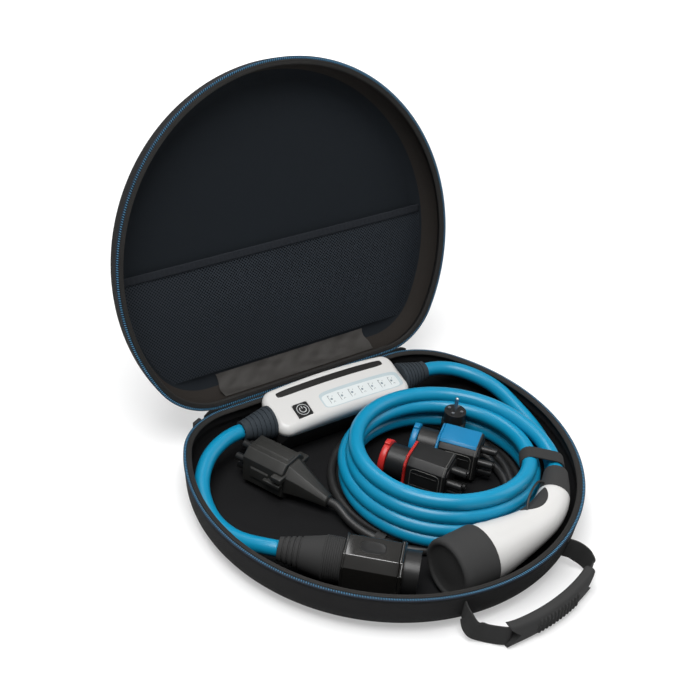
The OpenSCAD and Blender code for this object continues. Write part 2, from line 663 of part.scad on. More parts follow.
module connector_contacts() color(metal) on_nose() translate([0, 0, 8]) {
    cylinder(r = 3, h = 18);
    pin_circle(6, 14) cylinder(r = 3, h = 18);
}
module connector_cap() color(black) on_nose() rotate_extrude() polygon([[nose_r + fit, fit], [cap_r - 1, fit],
    [cap_r - 1, cap_l - 8], [cap_r, cap_l - 6], [cap_r, cap_l - 1], [cap_r - 1, cap_l], [cap_r - 5, cap_l],
    [cap_r - 7, cap_l - 5], [0, cap_l - 5], [0, nose_l + fit], [nose_r + fit, nose_l + fit],
    [nose_r + fit, nose_l - 4], [cap_r - 1 - cap_wall, nose_l - 6], [cap_r - 1 - cap_wall, 8],
    [nose_r + fit, 6]]);
tether_points = [[105, -122, 51], [97, -120, 56], [84, -126, 60], [72, -133, 60], [62, -141, 56],
                 [57, -148, 53]];
module cap_tether() color(black) tube(tether_points, 2.4, 3);

// Plug adapter along +X: collar ring, round barrel, gasket plate, housing, pin sleeves
barrel_l = 21;
collar_l = 7;
gasket_t = 3;
core_r = 12;
barrel_r = 17;
module adapter_body() {
    rotate([0, 90, 0]) cylinder(r = barrel_r - 3, h = collar_l + eps);
    translate([collar_l, 0, 0]) rotate([0, 90, 0]) cylinder(r = barrel_r, h = barrel_l);
    translate([collar_l + barrel_l - eps, 0, 0]) rotate([0, 90, 0])
        cylinder(r = core_r, h = gasket_t + 2 * eps);
    translate([collar_l + barrel_l + gasket_t, 0, 0]) difference() {
        bar(adapter_w, adapter_h, 7, adapter_l - collar_l - barrel_l - gasket_t);
        for (s = [-1, 1]) translate([8, s * adapter_w / 2, 0]) rotate([0, 90, 0])
            linear_extrude(20) chamfered(20, 2, 0.8);
    }
}
module adapter_collar() difference() {
    union() {
        rotate([0, 90, 0]) cylinder(r = barrel_r + 2, h = collar_l - fit);
        translate([0, -4, barrel_r]) cube([collar_l - fit, 8, 4]);
    }
    translate([-eps, 0, 0]) rotate([0, 90, 0]) cylinder(r = barrel_r - 3 + fit, h = collar_l + 1);
}
module adapter_gasket() translate([collar_l + barrel_l + fit / 2, 0, 0]) difference() {
    bar(adapter_w + 3, adapter_h, 8, gasket_t - fit);
    translate([-eps, 0, 0]) rotate([0, 90, 0]) cylinder(r = core_r + fit, h = gasket_t + 1);
}
module adapter_sleeves() translate([adapter_l, 0, 0]) contact_ring(5, 12) rotate([0, 90, 0]) difference() {
    cylinder(r = 4, h = sleeve_l);
    translate([0, 0, sleeve_l - 8]) cylinder(r = 2.4, h = 8 + eps);
}
module on_red() laid() translate([10.5, 14, floor_z + adapter_h / 2]) rotate([0, 0, -59]) children();
module on_blue() laid() translate([52.4, 20.6, floor_z + adapter_h / 2]) rotate([0, 0, -53.5]) children();
module red_body() color(black) on_red() adapter_body();
module red_collar() color(red) on_red() adapter_collar();
module red_gasket() color(red) on_red() adapter_gasket();
module red_sleeves() color(black) on_red() adapter_sleeves();
module blue_body() color(black) on_blue() adapter_body();
module blue_collar() color(blue) on_blue() adapter_collar();
module blue_gasket() color(blue) on_blue() adapter_gasket();
module blue_sleeves() color(black) on_blue() adapter_sleeves();

// Black plug along +X from its pin face, with wings at its sides and a cone to the cord
plug_at = [-106, 77, floor_z + plug_w / 2];
plug_turn = -68;
cone_l = 44;
cone_drop = 8;
module on_plug() laid() translate(plug_at) rotate([0, 0, plug_turn]) children();
module plug_body() color("#2b2b29") on_plug() {
    bar(plug_w - 6, plug_w, 8, plug_l);
    translate([plug_l - 20, -plug_w / 2 - 2, -2]) cube([20, plug_w + 4, 4]);
    translate([plug_l - 34, -plug_w / 2 + 1, 6]) cube([30, plug_w - 2, 10]);
}
module plug_cone() color("#2b2b29") on_plug() hull() {
    translate([plug_l, 0, 0]) bar(plug_w - 10, plug_w - 6, 9, 2);
    translate([plug_l + cone_l - 2, 0, -cone_drop]) rotate([0, 90, 0])
        cylinder(r = cord_d / 2 + 2.5, h = 2, $fn = 24);
}
module plug_sleeves() color(black) on_plug() contact_ring(5, 12) rotate([0, -90, 0]) cylinder(r = 4, h = 12);
function cone_way(l) = l * [cos(plug_turn), sin(plug_turn), 0];
cone_tip = plug_at + cone_way(plug_l + cone_l) - [0, 0, cone_drop];
cord_z = floor_z + cord_d / 2 + fit;
cord_points = [cone_tip, cone_tip + cone_way(5), cone_tip + cone_way(10), [-66, -38, 12.5], [-60, -60, 10.6],
               [-48, -82, 10.6], [-33, -98, 9.4], [-18, -107.5, cord_z]];
module plug_cord() color(black) tube(cord_points, cord_d, 2);

// Coil of the black cord, two turns side by side on the floor under the charging cable
cord_coil_at = [42, -20];
cord_coil_r = 93;
module cord_coil() color(black) laid() translate(cord_coil_at) rotate_extrude($fn = 96) {
    for (s = [-1, 1]) translate([cord_coil_r + s * cord_d / 2, cord_z]) circle(cord_d / 2, $fn = 24);
    translate([cord_coil_r - cord_d / 2, cord_z - cord_d / 2]) square([cord_d, cord_d]);
}
// Tie on the cord between its last points
tie_at = (cord_points[4] + cord_points[5]) / 2;
tie_way = cord_points[5] - cord_points[4];
module cord_tie() color(black) laid() translate(tie_at) rotate([0, 0, atan2(tie_way[1], tie_way[0])])
    rotate([0, 90, 0]) difference() {
        cylinder(r = cord_d / 2 + 1.6, h = 10, center = true);
        cylinder(r = cord_d / 2 + 0.6, h = 14, center = true);
    }

// Round plug that stands on the floor, pins up, with its cord leaving sideways
round_at = [100, 12.5, floor_z];
round_turn = -61;
module on_round() laid() translate(round_at) rotate([0, 0, round_turn]) children();
relief_l = 10;
module round_plug() color(black) on_round() {
    difference() {
        union() {
            cylinder(r = round_r, h = round_h - 14);
            translate([0, 0, round_h - 14]) cylinder(r1 = round_r, r2 = round_r - 1.5, h = 2);
            translate([0, 0, round_h - 12]) cylinder(r = round_r - 1.5, h = 12);
        }
        pin_circle(4, 7) translate([0, 0, round_h - 5]) cylinder(r = 1.8, h = 6);
    }
    translate([round_r - 2, 0, cord_z - floor_z + 1.5]) rotate([0, 90, 0])
        cylinder(r1 = 6, r2 = 5.4, h = relief_l + 2);
}
pin_r = 1.6;
module round_plug_pins() color(metal) on_round() {
    pin_circle(4, 7) translate([0, 0, round_h - 5]) cylinder(r = pin_r, h = 7);
    translate([0, 0, round_h]) {
        cylinder(r = 2, h = 15);
        translate([0, 0, 15]) sphere(2);
    }
}
function relief_way(l) = l * [cos(round_turn), sin(round_turn), 0];
relief_end = round_at + relief_way(round_r + relief_l) + [0, 0, cord_z + 1.5 - floor_z];
round_cord_points = [relief_end, relief_end + relief_way(4), relief_end + relief_way(8),
                     [119, -28, cord_z + 0.4], [120, -40, cord_z + 0.2]];
module round_plug_cord() color(black) tube(round_cord_points, cord_d, 2);

base_shell();
base_zip_tape();
base_zip_teeth();
zip_slider();
lid_shell();
lid_zip_tape();
lid_zip_teeth();
pocket_net();
pocket_hem();
hinge_flap();
hinge_band();
handle_straps();
handle_grip();
box_lower_cover();
box_upper_cover();
box_seal();
box_board();
box_relays();
box_panel();
box_lamps();
box_inlay();
box_button();
box_screws();
box_boot_in();
box_boot_out();
input_cable();
output_cable();
coil_lower();
coil_upper();
connector_cable();
coil_strap();
coupling_boot();
coupling_grip();
coupling_housing();
coupling_face();
coupling_contacts();
connector_handle();
connector_inset();
connector_boot();
connector_nose();
connector_contacts();
connector_cap();
cap_tether();
red_body();
red_collar();
red_gasket();
red_sleeves();
blue_body();
blue_collar();
blue_gasket();
blue_sleeves();
plug_body();
plug_cone();
plug_sleeves();
plug_cord();
cord_coil();
round_plug_cord();
cord_tie();
round_plug();
round_plug_pins();
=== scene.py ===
"""Looks of the portable car charger kit: an open round zip case with its contents, on a pale floor."""

import json
import logging
import math
from dataclasses import dataclass, field
from enum import Enum
from functools import cache, cached_property
from typing import Iterable, Sequence

import bmesh
import bpy
import numpy as np
from mathutils import Matrix, Vector

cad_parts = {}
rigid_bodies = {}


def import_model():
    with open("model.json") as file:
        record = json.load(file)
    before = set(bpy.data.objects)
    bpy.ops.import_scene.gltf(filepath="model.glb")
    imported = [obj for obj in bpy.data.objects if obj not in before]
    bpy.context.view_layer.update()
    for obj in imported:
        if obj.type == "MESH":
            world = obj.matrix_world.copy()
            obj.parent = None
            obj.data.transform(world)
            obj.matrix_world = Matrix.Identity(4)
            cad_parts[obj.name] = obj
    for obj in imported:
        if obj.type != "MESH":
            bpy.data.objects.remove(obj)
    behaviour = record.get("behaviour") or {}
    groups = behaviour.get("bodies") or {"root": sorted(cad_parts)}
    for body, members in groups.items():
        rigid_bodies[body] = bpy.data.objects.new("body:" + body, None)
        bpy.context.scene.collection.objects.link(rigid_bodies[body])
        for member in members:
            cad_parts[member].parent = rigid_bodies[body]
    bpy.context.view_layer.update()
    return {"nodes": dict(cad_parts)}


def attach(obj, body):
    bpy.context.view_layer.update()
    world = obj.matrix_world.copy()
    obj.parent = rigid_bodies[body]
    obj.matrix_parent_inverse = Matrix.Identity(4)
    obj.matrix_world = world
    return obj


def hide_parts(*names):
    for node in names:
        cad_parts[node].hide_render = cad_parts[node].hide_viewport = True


for spare in list(bpy.data.objects):
    bpy.data.objects.remove(spare)
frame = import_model()

log = logging.getLogger("charger_kit")
Array = np.ndarray
Colour = tuple[float, float, float]
Pair = tuple[float, float]
Place = tuple[float, float, float]
Socket = bpy.types.NodeSocket
MM = 0.001


class Body(Enum):
    """CAD bodies that a piece can ride on."""

    CASE = "case"
    LID = "lid"
    BUTTON = "button"


# Paths and sections


def unit(v: Array) -> Array:
    """Vectors of length one along the last axis."""
    return v / np.linalg.norm(v, axis=-1, keepdims=True)


def ways(angles: Array) -> Array:
    """Directions (cos a, sin a) of angles in radians."""
    return np.stack([np.cos(angles), np.sin(angles)], axis=-1)


def heading(degrees: float) -> Array:
    """Level direction at an angle from +X."""
    return np.append(ways(np.radians(degrees)), 0.0)


def full_turn(n: int) -> Array:
    """Angles of a full turn in n equal steps, without its end."""
    return np.linspace(0, 2 * math.pi, n, endpoint=False)


def turn_z(degrees: float) -> Array:
    """Turn about Z."""
    return np.array(Matrix.Rotation(math.radians(degrees), 3, "Z"))


def turn_x(degrees: float) -> Array:
    """Turn about X."""
    return np.array(Matrix.Rotation(math.radians(degrees), 3, "X"))


def run(path: Array) -> Array:
    """Distance along a path at each of its points."""
    return np.concatenate([[0.0], np.cumsum(np.linalg.norm(np.diff(path[:, :3], axis=0), axis=1))])


def round_trip(ring: Array) -> Array:
    """Distance along a closed outline at each of its points, and back at the first."""
    return run(np.vstack([ring, ring[:1]]))


def read_off(at: Array, along: Array, values: Array) -> Array:
    """Rows of values that are known at the distances along, read off at other distances."""
    return np.stack([np.interp(at, along, column) for column in values.T], axis=1)


def places(a: Array, b: Array) -> Array:
    """Grid of texture places (a_i, b_j)."""
    return np.stack(np.meshgrid(a, b, indexing="ij"), axis=-1)


def catmull_rom(points: Sequence[Sequence[float]], steps: int) -> Array:
    """Smooth path through points.

    P(t) = (2 p1 + (p2 - p0) t + (2 p0 - 5 p1 + 4 p2 - p3) t^2 + (3 p1 - p0 - 3 p2 + p3) t^3) / 2

    Args:
        points: Points to pass through, with any number of coordinates.
        steps: Steps in each span.

    Returns:
        The path, one row for each step.
    """
    p = np.asarray(points, float)
    pad = np.vstack([p[:1], p, p[-1:]])
    p0, p1, p2, p3 = (pad[k : len(pad) - 3 + k, None] for k in range(4))
    t = np.linspace(0, 1, steps, endpoint=False)[None, :, None]
    spans = (2 * p1 + (p2 - p0) * t + (2 * p0 - 5 * p1 + 4 * p2 - p3) * t**2
             + (3 * p1 - p0 - 3 * p2 + p3) * t**3) / 2
    return np.vstack([spans.reshape(-1, p.shape[1]), p[-1:]])


def even(path: Array, step: float) -> Array:
    """The same path with points at an even distance of about step.

    Args:
        path: Points of the path.
        step: Distance wanted.

    Returns:
        The path in even steps.
    """
    along = run(path)
    at = np.linspace(0, along[-1], max(2, int(round(along[-1] / step)) + 1))
    return read_off(at, along, path)


def eased(path: Array, width: int) -> Array:
    """A path with its kinks taken out by a weighted moving mean.

    Args:
        path: Evenly spaced points.
        width: Points on each side that the mean takes in.

    Returns:
        The path with the same number of points and the same ends.
    """
    before, after = path[width:0:-1], path[-2 : -width - 2 : -1]
    pad = np.vstack([2 * path[0] - before, path, 2 * path[-1] - after])
    kernel = np.hanning(2 * width + 3)[1:-1]
    kernel /= kernel.sum()
    return np.stack([np.convolve(column, kernel, "valid") for column in pad.T], axis=1)


def frames(path: Array) -> tuple[Array, Array, Array]:
    """Directions ahead, to the left and up at each point of a path that isn't upright.

    Args:
        path: Points of the path.

    Returns:
        The three directions, one row for each point.
    """
    ahead = unit(np.gradient(path[:, :3], axis=0))
    side = unit(np.cross([0.0, 0.0, 1.0], ahead))
    return ahead, side, np.cross(ahead, side)


def superellipse(half_w: float, half_h: float, power: float, n: int) -> Array:
    """Closed section that is an ellipse at power 2 and nears a box at high powers.

    P(a) = (w sign(cos a) |cos a|^(2 / p), h sign(sin a) |sin a|^(2 / p))

    Args:
        half_w: Half of the width.
        half_h: Half of the height.
        power: The power p.
        n: Number of points.

    Returns:
        Points of the section.
    """
    way = ways(full_turn(n))
    return np.sign(way) * np.abs(way) ** (2 / power) * [half_w, half_h]


def rounded_polygon(corners: Sequence[Sequence[float]], radius: float, steps: int = 5) -> Array:
    """Closed section with its corners rounded.

    Corner k gives c + r unit((1 - t) v0 + t v1), with c at r / sin(h) inside it, h half of its angle.

    Args:
        corners: Corners in order.
        radius: Radius of every rounded corner.
        steps: Steps in each corner.

    Returns:
        Points of the section.
    """
    p = np.asarray(corners, float)
    back, on = unit(np.roll(p, 1, axis=0) - p), unit(np.roll(p, -1, axis=0) - p)
    half = np.arccos(np.clip(np.sum(back * on, axis=1), -1, 1))[:, None] / 2
    centre = p + unit(back + on) * radius / np.sin(half)
    first, last = (p + d * radius / np.tan(half) - centre for d in (back, on))
    t = np.linspace(0, 1, steps + 1)[None, :, None]
    return (centre[:, None] + radius * unit((1 - t) * first[:, None] + t * last[:, None])).reshape(-1, 2)


def even_ring(ring: Array, n: int) -> Array:
    """Closed outline with n points at equal steps."""
    along = round_trip(ring)
    return read_off(np.arange(n) * along[-1] / n, along, np.vstack([ring, ring[:1]]))


def octagon(w: float, h: float, c: float, radius: float = 1.2) -> Array:
    """Rectangle w by h with corners cut by c and then rounded.

    Args:
        w: Width.
        h: Height.
        c: Cut at each corner.
        radius: Radius at the ends of the cuts.

    Returns:
        Points of the section.
    """
    a, b = w / 2, h / 2
    right = [[a, c - b], [a, b - c], [a - c, b]]
    left = [[c - a, b], [-a, b - c], [-a, c - b], [c - a, -b]]
    return rounded_polygon([*right, *left, [a - c, -b]], radius)


# Shapes


@dataclass
class Shape:
    """Points and faces in millimetres, with a texture place in millimetres for each face corner."""

    points: Array
    faces: list[Array] = field(default_factory=list)
    uvs: list[Array] = field(default_factory=list)

    @classmethod
    def grid(cls, points: Array, uv: Array, wrap_rows: bool = False, wrap_cols: bool = False) -> "Shape":
        """Surface P(row, column) of a grid of points.

        Args:
            points: Grid of points, rows by columns by 3.
            uv: Texture places, with one more row or column where the grid wraps.
            wrap_rows: The last row joins the first.
            wrap_cols: The last column joins the first.

        Returns:
            The surface in quads.
        """
        rows, cols = points.shape[:2]
        r, c = np.meshgrid(np.arange(rows if wrap_rows else rows - 1),
                           np.arange(cols if wrap_cols else cols - 1), indexing="ij")
        corners = [(r, c), (r, c + 1), (r + 1, c + 1), (r + 1, c)]
        faces = np.stack([(a % rows) * cols + b % cols for a, b in corners], axis=-1).reshape(-1, 4)
        corner_uv = np.stack([uv[a, b] for a, b in corners], axis=-2).reshape(-1, 4, 2)
        return cls(points.reshape(-1, 3), [faces], [corner_uv])

    @classmethod
    def rings(cls, points: Array, uv: Array) -> "Shape":
        """Closed rings of points, one to a row, with the first and the last ring capped.

        Args:
            points: Grid of points, one ring to a row.
            uv: Texture places, with one more column.

        Returns:
            The closed surface.
        """
        rows, cols = points.shape[:2]
        last = (rows - 1) * cols
        return cls.grid(points, uv, False, True).cap(np.arange(cols)).cap(np.arange(last, last + cols))

    @classmethod
    def layers(cls, plan: Array, height: Array) -> "Shape":
        """Closed rings in plan at their heights, with both ends capped and the texture laid flat.

        Args:
            plan: Rings in plan, rows by columns by 2.
            height: Heights that spread to rows by columns by 1.

        Returns:
            The closed surface.
        """
        z = np.broadcast_to(height, (*plan.shape[:2], 1))
        return cls.rings(np.concatenate([plan, z], axis=2), np.concatenate([plan, plan[:, :1]], axis=1))

    def cap(self, ring: Array) -> "Shape":
        """Closes a ring of point numbers with a fan to its middle.

        Args:
            ring: Point numbers in order.

        Returns:
            The shape itself.
        """
        middle = len(self.points)
        self.points = np.vstack([self.points, self.points[ring].mean(axis=0)])
        self.faces.append(np.stack([ring, np.roll(ring, -1), np.full(len(ring), middle)], axis=1))
        self.uvs.append(self.points[self.faces[-1]][..., :2])
        return self

    def skirt(self, ring: Array, z: float) -> "Shape":
        """Lets down an edge and closes it underneath.

        Args:
            ring: Point numbers of the edge.
            z: Height that the edge is let down to.

        Returns:
            The shape itself.
        """
        first = len(self.points)
        self.points = np.vstack([self.points, self.points[ring] * [1, 1, 0] + [0, 0, z]])
        low = first + np.arange(len(ring))
        quads = np.stack([ring, np.roll(ring, -1), np.roll(low, -1), low], axis=1)
        self.faces.append(quads)
        self.uvs.append(self.points[quads][..., [0, 2]])
        return self.cap(low)

    @classmethod
    def joined(cls, shapes: Iterable["Shape"]) -> "Shape":
        """Several shapes as one.

        Args:
            shapes: Shapes to join.

        Returns:
            One shape with all their points and faces.
        """
        shapes = list(shapes)
        starts = np.cumsum([0] + [len(s.points) for s in shapes[:-1]])
        return cls(np.vstack([s.points for s in shapes]),
                   [f + k for s, k in zip(shapes, starts) for f in s.faces],
                   [u for s in shapes for u in s.uvs])

    def moved(self, turn: Array, shift: Sequence[float] = (0, 0, 0)) -> "Shape":
        """The shape turned or mirrored by a 3 by 3 matrix and then shifted."""
        return Shape(self.points @ np.asarray(turn).T + np.asarray(shift, float), self.faces, self.uvs)

    def piece(self, name: str, finish: "Finish", body: Body, slot: str,
              replaces: Sequence[str] = ()) -> bpy.types.Object:
        """Makes the Blender object.

        Args:
            name: Name of the piece.
            finish: Its finish.
            body: CAD body it rides on.
            slot: Material slot of the record; not used.
            replaces: CAD nodes that it stands for.

        Returns:
            The object, riding on its body.
        """
        mesh = bpy.data.meshes.new(name)
        faces = [face for part in self.faces for face in part.tolist()]
        mesh.from_pydata((self.points * MM).tolist(), [], faces)
        layer = mesh.uv_layers.new(name="uv")
        layer.data.foreach_set("uv", np.concatenate([u.reshape(-1) for u in self.uvs]) * MM)
        work = bmesh.new()
        work.from_mesh(mesh)
        bmesh.ops.recalc_face_normals(work, faces=work.faces)
        work.to_mesh(mesh)
        work.free()
        mesh.polygons.foreach_set("use_smooth", np.ones(len(faces), bool))
        mesh.materials.append(finish.material())
        obj = bpy.data.objects.new(name, mesh)
        bpy.context.scene.collection.objects.link(obj)
        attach(obj, body.value)
        if replaces:
            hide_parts(*replaces)
        log.info("%s: %d faces on %s", name, len(faces), body.value)
        return obj


def sweep(path: Array, section: Array, closed: bool = False) -> Shape:
    """Section carried along a path: P(i, j) = path_i + section_j0 side_i + section_j1 up_i.

    Args:
        path: Points of the path.
        section: Closed section (n by 2), or one for each point of the path.
        closed: The path is a loop.

    Returns:
        The tube, with its ends capped unless it is a loop.
    """
    section = np.broadcast_to(section, (len(path), *section.shape[-2:]))
    loop = np.vstack([path[-1:], path, path[:1]]) if closed else path
    side, top = (d[1:-1] if closed else d for d in frames(loop)[1:])
    points = path[:, None, :3] + section[..., :1] * side[:, None] + section[..., 1:] * top[:, None]
    girth = round_trip(section[0])
    if closed:
        return Shape.grid(points, places(round_trip(path), girth), True, True)
    return Shape.rings(points, places(run(path), girth))


def tube(path: Array, radius: float, sides: int) -> Shape:
    """Round tube along a path."""
    return sweep(path, superellipse(radius, radius, 2, sides))


def lofted(stations: Sequence[float], sections: Array) -> Shape:
    """Sections at stations along X, with capped ends: P(i, j) = (x_i, y_ij, z_ij).

    Args:
        stations: The x of each section.
        sections: Sections (y, z) with equal numbers of points.

    Returns:
        The closed surface.
    """
    x = np.asarray(stations, float)
    column = np.broadcast_to(x[:, None, None], (*sections.shape[:2], 1))
    girth = round_trip(sections[len(sections) // 2])
    return Shape.rings(np.concatenate([column, sections], axis=2), places(x, girth))


def bar(section: Array, start: float, length: float, edge: float = 1.0) -> Shape:
    """Straight bar along X with rounded end edges: inset e (1 - sin a) at e (1 - cos a) from each end.

    Args:
        section: Closed section (y, z) round the X axis.
        start: The x of one end.
        length: Length of the bar.
        edge: Radius e of the end edges.

    Returns:
        The bar.
    """
    a = np.linspace(0, math.pi / 2, 5)
    middle = np.linspace(0.2, 0.8, 4)
    ends, inset = edge * (1 - np.cos(a)), edge * (1 - np.sin(a))
    stations = start + np.concatenate([ends, middle * length, length - ends[::-1]])
    inset = np.concatenate([inset, np.zeros(len(middle)), inset[::-1]])[:, None, None]
    return lofted(stations, section[None] * (1 - inset / np.abs(section).max(axis=0)))


def turned(profile: Sequence[Sequence[float]], sides: int = 48, least: float = 0.01) -> Shape:
    """Profile (x, r) turned about X, with r no smaller than least."""
    x, r = np.asarray(profile, float).T
    return lofted(x, np.maximum(r, least)[:, None, None] * superellipse(1, 1, 2, sides)[None])


def block(low: Sequence[float], high: Sequence[float], edge: float) -> Shape:
    """Box from one corner to another with rounded edges.

    Args:
        low: Corner with the least coordinates.
        high: Corner with the greatest.
        edge: Radius of the edges.

    Returns:
        The box.
    """
    (x0, y0, z0), (x1, y1, z1) = low, high
    w, h = (y1 - y0) / 2, (z1 - z0) / 2
    section = rounded_polygon([[w, -h], [w, h], [-w, h], [-w, -h]], edge, 4)
    return bar(section, x0, x1 - x0, edge).moved(np.eye(3), (0, (y0 + y1) / 2, (z0 + z1) / 2))


# Shader parts


class Graph:
    """Adds and joins nodes in one node tree."""

    def __init__(self, tree: bpy.types.NodeTree) -> None:
        """Starts with an existing tree."""
        self.tree = tree

    def node(self, kind: str, inputs: dict | None = None, **settings: object) -> bpy.types.Node:
        """Adds a node.

        Args:
            kind: Node type.
            inputs: A socket to link or a constant, for each input by name or number.
            settings: Attributes of the node.

        Returns:
            The node.
        """
        made = self.tree.nodes.new(kind)
        for key, value in settings.items():
            setattr(made, key, value)
        for key, value in (inputs or {}).items():
            if isinstance(value, Socket):
                self.tree.links.new(value, made.inputs[key])
            else:
                made.inputs[key].default_value = value
        return made

    def group(self, tree: bpy.types.NodeTree, **inputs: object) -> bpy.types.Node:
        """Adds a node group with its inputs."""
        return self.node("ShaderNodeGroup", inputs, node_tree=tree)

    def math(self, operation: str, *values: object) -> Socket:
        """Adds a math node on its values and gives its result."""
        return self.node("ShaderNodeMath", dict(enumerate(values)), operation=operation).outputs[0]

    def wave(self, value: Socket, kind: str = "SINE") -> Socket:
        """Size of the sine or cosine of pi times a value."""
        return self.math("ABSOLUTE", self.math(kind, self.math("MULTIPLY", value, math.pi)))

    def mix(self, factor: object, a: object, b: object) -> Socket:
        """Mixes two colours."""
        return self.node("ShaderNodeMix", {0: factor, 6: a, 7: b}, data_type="RGBA").outputs[2]

    def spread(self, value: object, low: float, high: float) -> Socket:
        """Moves a value from 0..1 to low..high."""
        return self.node("ShaderNodeMapRange", {0: value, 3: low, 4: high}).outputs[0]


@dataclass
class Group:
    """A shader node group in the making: its graph, and the nodes of its inputs and outputs."""

    graph: Graph
    start: bpy.types.Node
    end: bpy.types.Node

    @classmethod
    def new(cls, name: str, size: str, outputs: Sequence[str]) -> "Group":
        """Starts a group.

        Args:
            name: Name of the group.
            size: Name of the number that it takes beside the Vector.
            outputs: Names of the numbers that it puts out.

        Returns:
            The group, without any nodes between its ends.
        """
        tree = bpy.data.node_groups.new(name, "ShaderNodeTree")
        for key, kind in (("Vector", "NodeSocketVector"), (size, "NodeSocketFloat")):
            tree.interface.new_socket(key, in_out="INPUT", socket_type=kind)
        for key in outputs:
            tree.interface.new_socket(key, in_out="OUTPUT", socket_type="NodeSocketFloat")
        graph = Graph(tree)
        return cls(graph, graph.node("NodeGroupInput"), graph.node("NodeGroupOutput"))

    def pitches(self) -> tuple[Socket, Socket]:
        """The texture place counted in pitches, along each of its two directions.

        Returns:
            The two counts.
        """
        parts = self.graph.node("ShaderNodeSeparateXYZ", {0: self.start.outputs["Vector"]})
        x, y = (self.graph.math("DIVIDE", parts.outputs[k], self.start.outputs["Pitch"]) for k in (0, 1))
        return x, y

    def give(self, **outputs: Socket) -> bpy.types.NodeTree:
        """Links the outputs and gives the finished tree.

        Args:
            outputs: A socket for each output by name.

        Returns:
            The tree.
        """
        for key, socket in outputs.items():
            self.graph.tree.links.new(socket, self.end.inputs[key])
        return self.graph.tree


@cache
def weave_group() -> bpy.types.NodeTree:
    """Plain weave of threads one over one under, at a pitch, over a texture place.

    Returns:
        The group, which gives Height.
    """
    made = Group.new("plain_weave", "Pitch", ["Height"])
    g = made.graph
    x, y = made.pitches()
    crossing = 0.45
    over = g.math("FLOORED_MODULO", g.math("ADD", g.math("FLOOR", x), g.math("FLOOR", y)), 2.0)
    warp, weft = g.wave(x), g.wave(y)
    first, second = (g.math("MULTIPLY", a, g.math("MULTIPLY_ADD", b, crossing, 1 - crossing))
                     for a, b in ((warp, weft), (weft, warp)))
    return made.give(Height=g.node("ShaderNodeMix", {0: over, 2: first, 3: second}).outputs[0])


@cache
def ribs_group() -> bpy.types.NodeTree:
    """Fine ribs across the texture's second direction, with threads along the first.

    Returns:
        The group, which gives Height.
    """
    made = Group.new("tape_ribs", "Pitch", ["Height"])
    g = made.graph
    x, y = made.pitches()
    rib = g.wave(y)
    thread = g.wave(g.math("ADD", x, g.math("MULTIPLY", rib, 0.5)))
    return made.give(Height=g.math("MULTIPLY", rib, g.math("ADD", g.math("MULTIPLY", thread, 0.5), 0.5)))


@cache
def grain_group() -> bpy.types.NodeTree:
    """Fine grain and broad mottling of a moulded or worn surface.

    Returns:
        The group, which gives Fine and Broad.
    """
    made = Group.new("grain", "Scale", ["Fine", "Broad"])
    g = made.graph
    place, scale = made.start.outputs["Vector"], made.start.outputs["Scale"]
    coarse = g.math("MULTIPLY", scale, 0.03)
    fine, broad = (g.node("ShaderNodeTexNoise", {"Vector": place, "Scale": size, "Detail": detail,
                                                 "Roughness": rough}).outputs[0]
                   for size, detail, rough in ((scale, 3.0, 0.6), (coarse, 2.0, 0.5)))
    return made.give(Fine=fine, Broad=broad)


@cache
def net_group() -> bpy.types.NodeTree:
    """Threads of a fine diagonal net: 1 on a thread and 0 in a hole.

    Returns:
        The group, which gives Thread and Height.
    """
    made = Group.new("net", "Pitch", ["Thread", "Height"])
    g = made.graph
    x, y = made.pitches()
    thread_edge = 0.83
    height = g.math("MAXIMUM", *(g.wave(g.math(kind, x, y), "COSINE") for kind in ("ADD", "SUBTRACT")))
    return made.give(Height=height, Thread=g.math("GREATER_THAN", height, thread_edge))


# Finishes


def linear(hex_colour: str) -> Colour:
    """Linear colour from an sRGB hex colour."""
    s = np.array([int(hex_colour[k : k + 2], 16) for k in (1, 3, 5)]) / 255
    return tuple(np.where(s <= 0.04045, s / 12.92, ((s + 0.055) / 1.055) ** 2.4).tolist())


def shade(colour: Colour, factor: float) -> tuple[float, float, float, float]:
    """A colour made lighter or darker, with alpha."""
    return tuple(min(1.0, c * factor) for c in colour) + (1.0,)


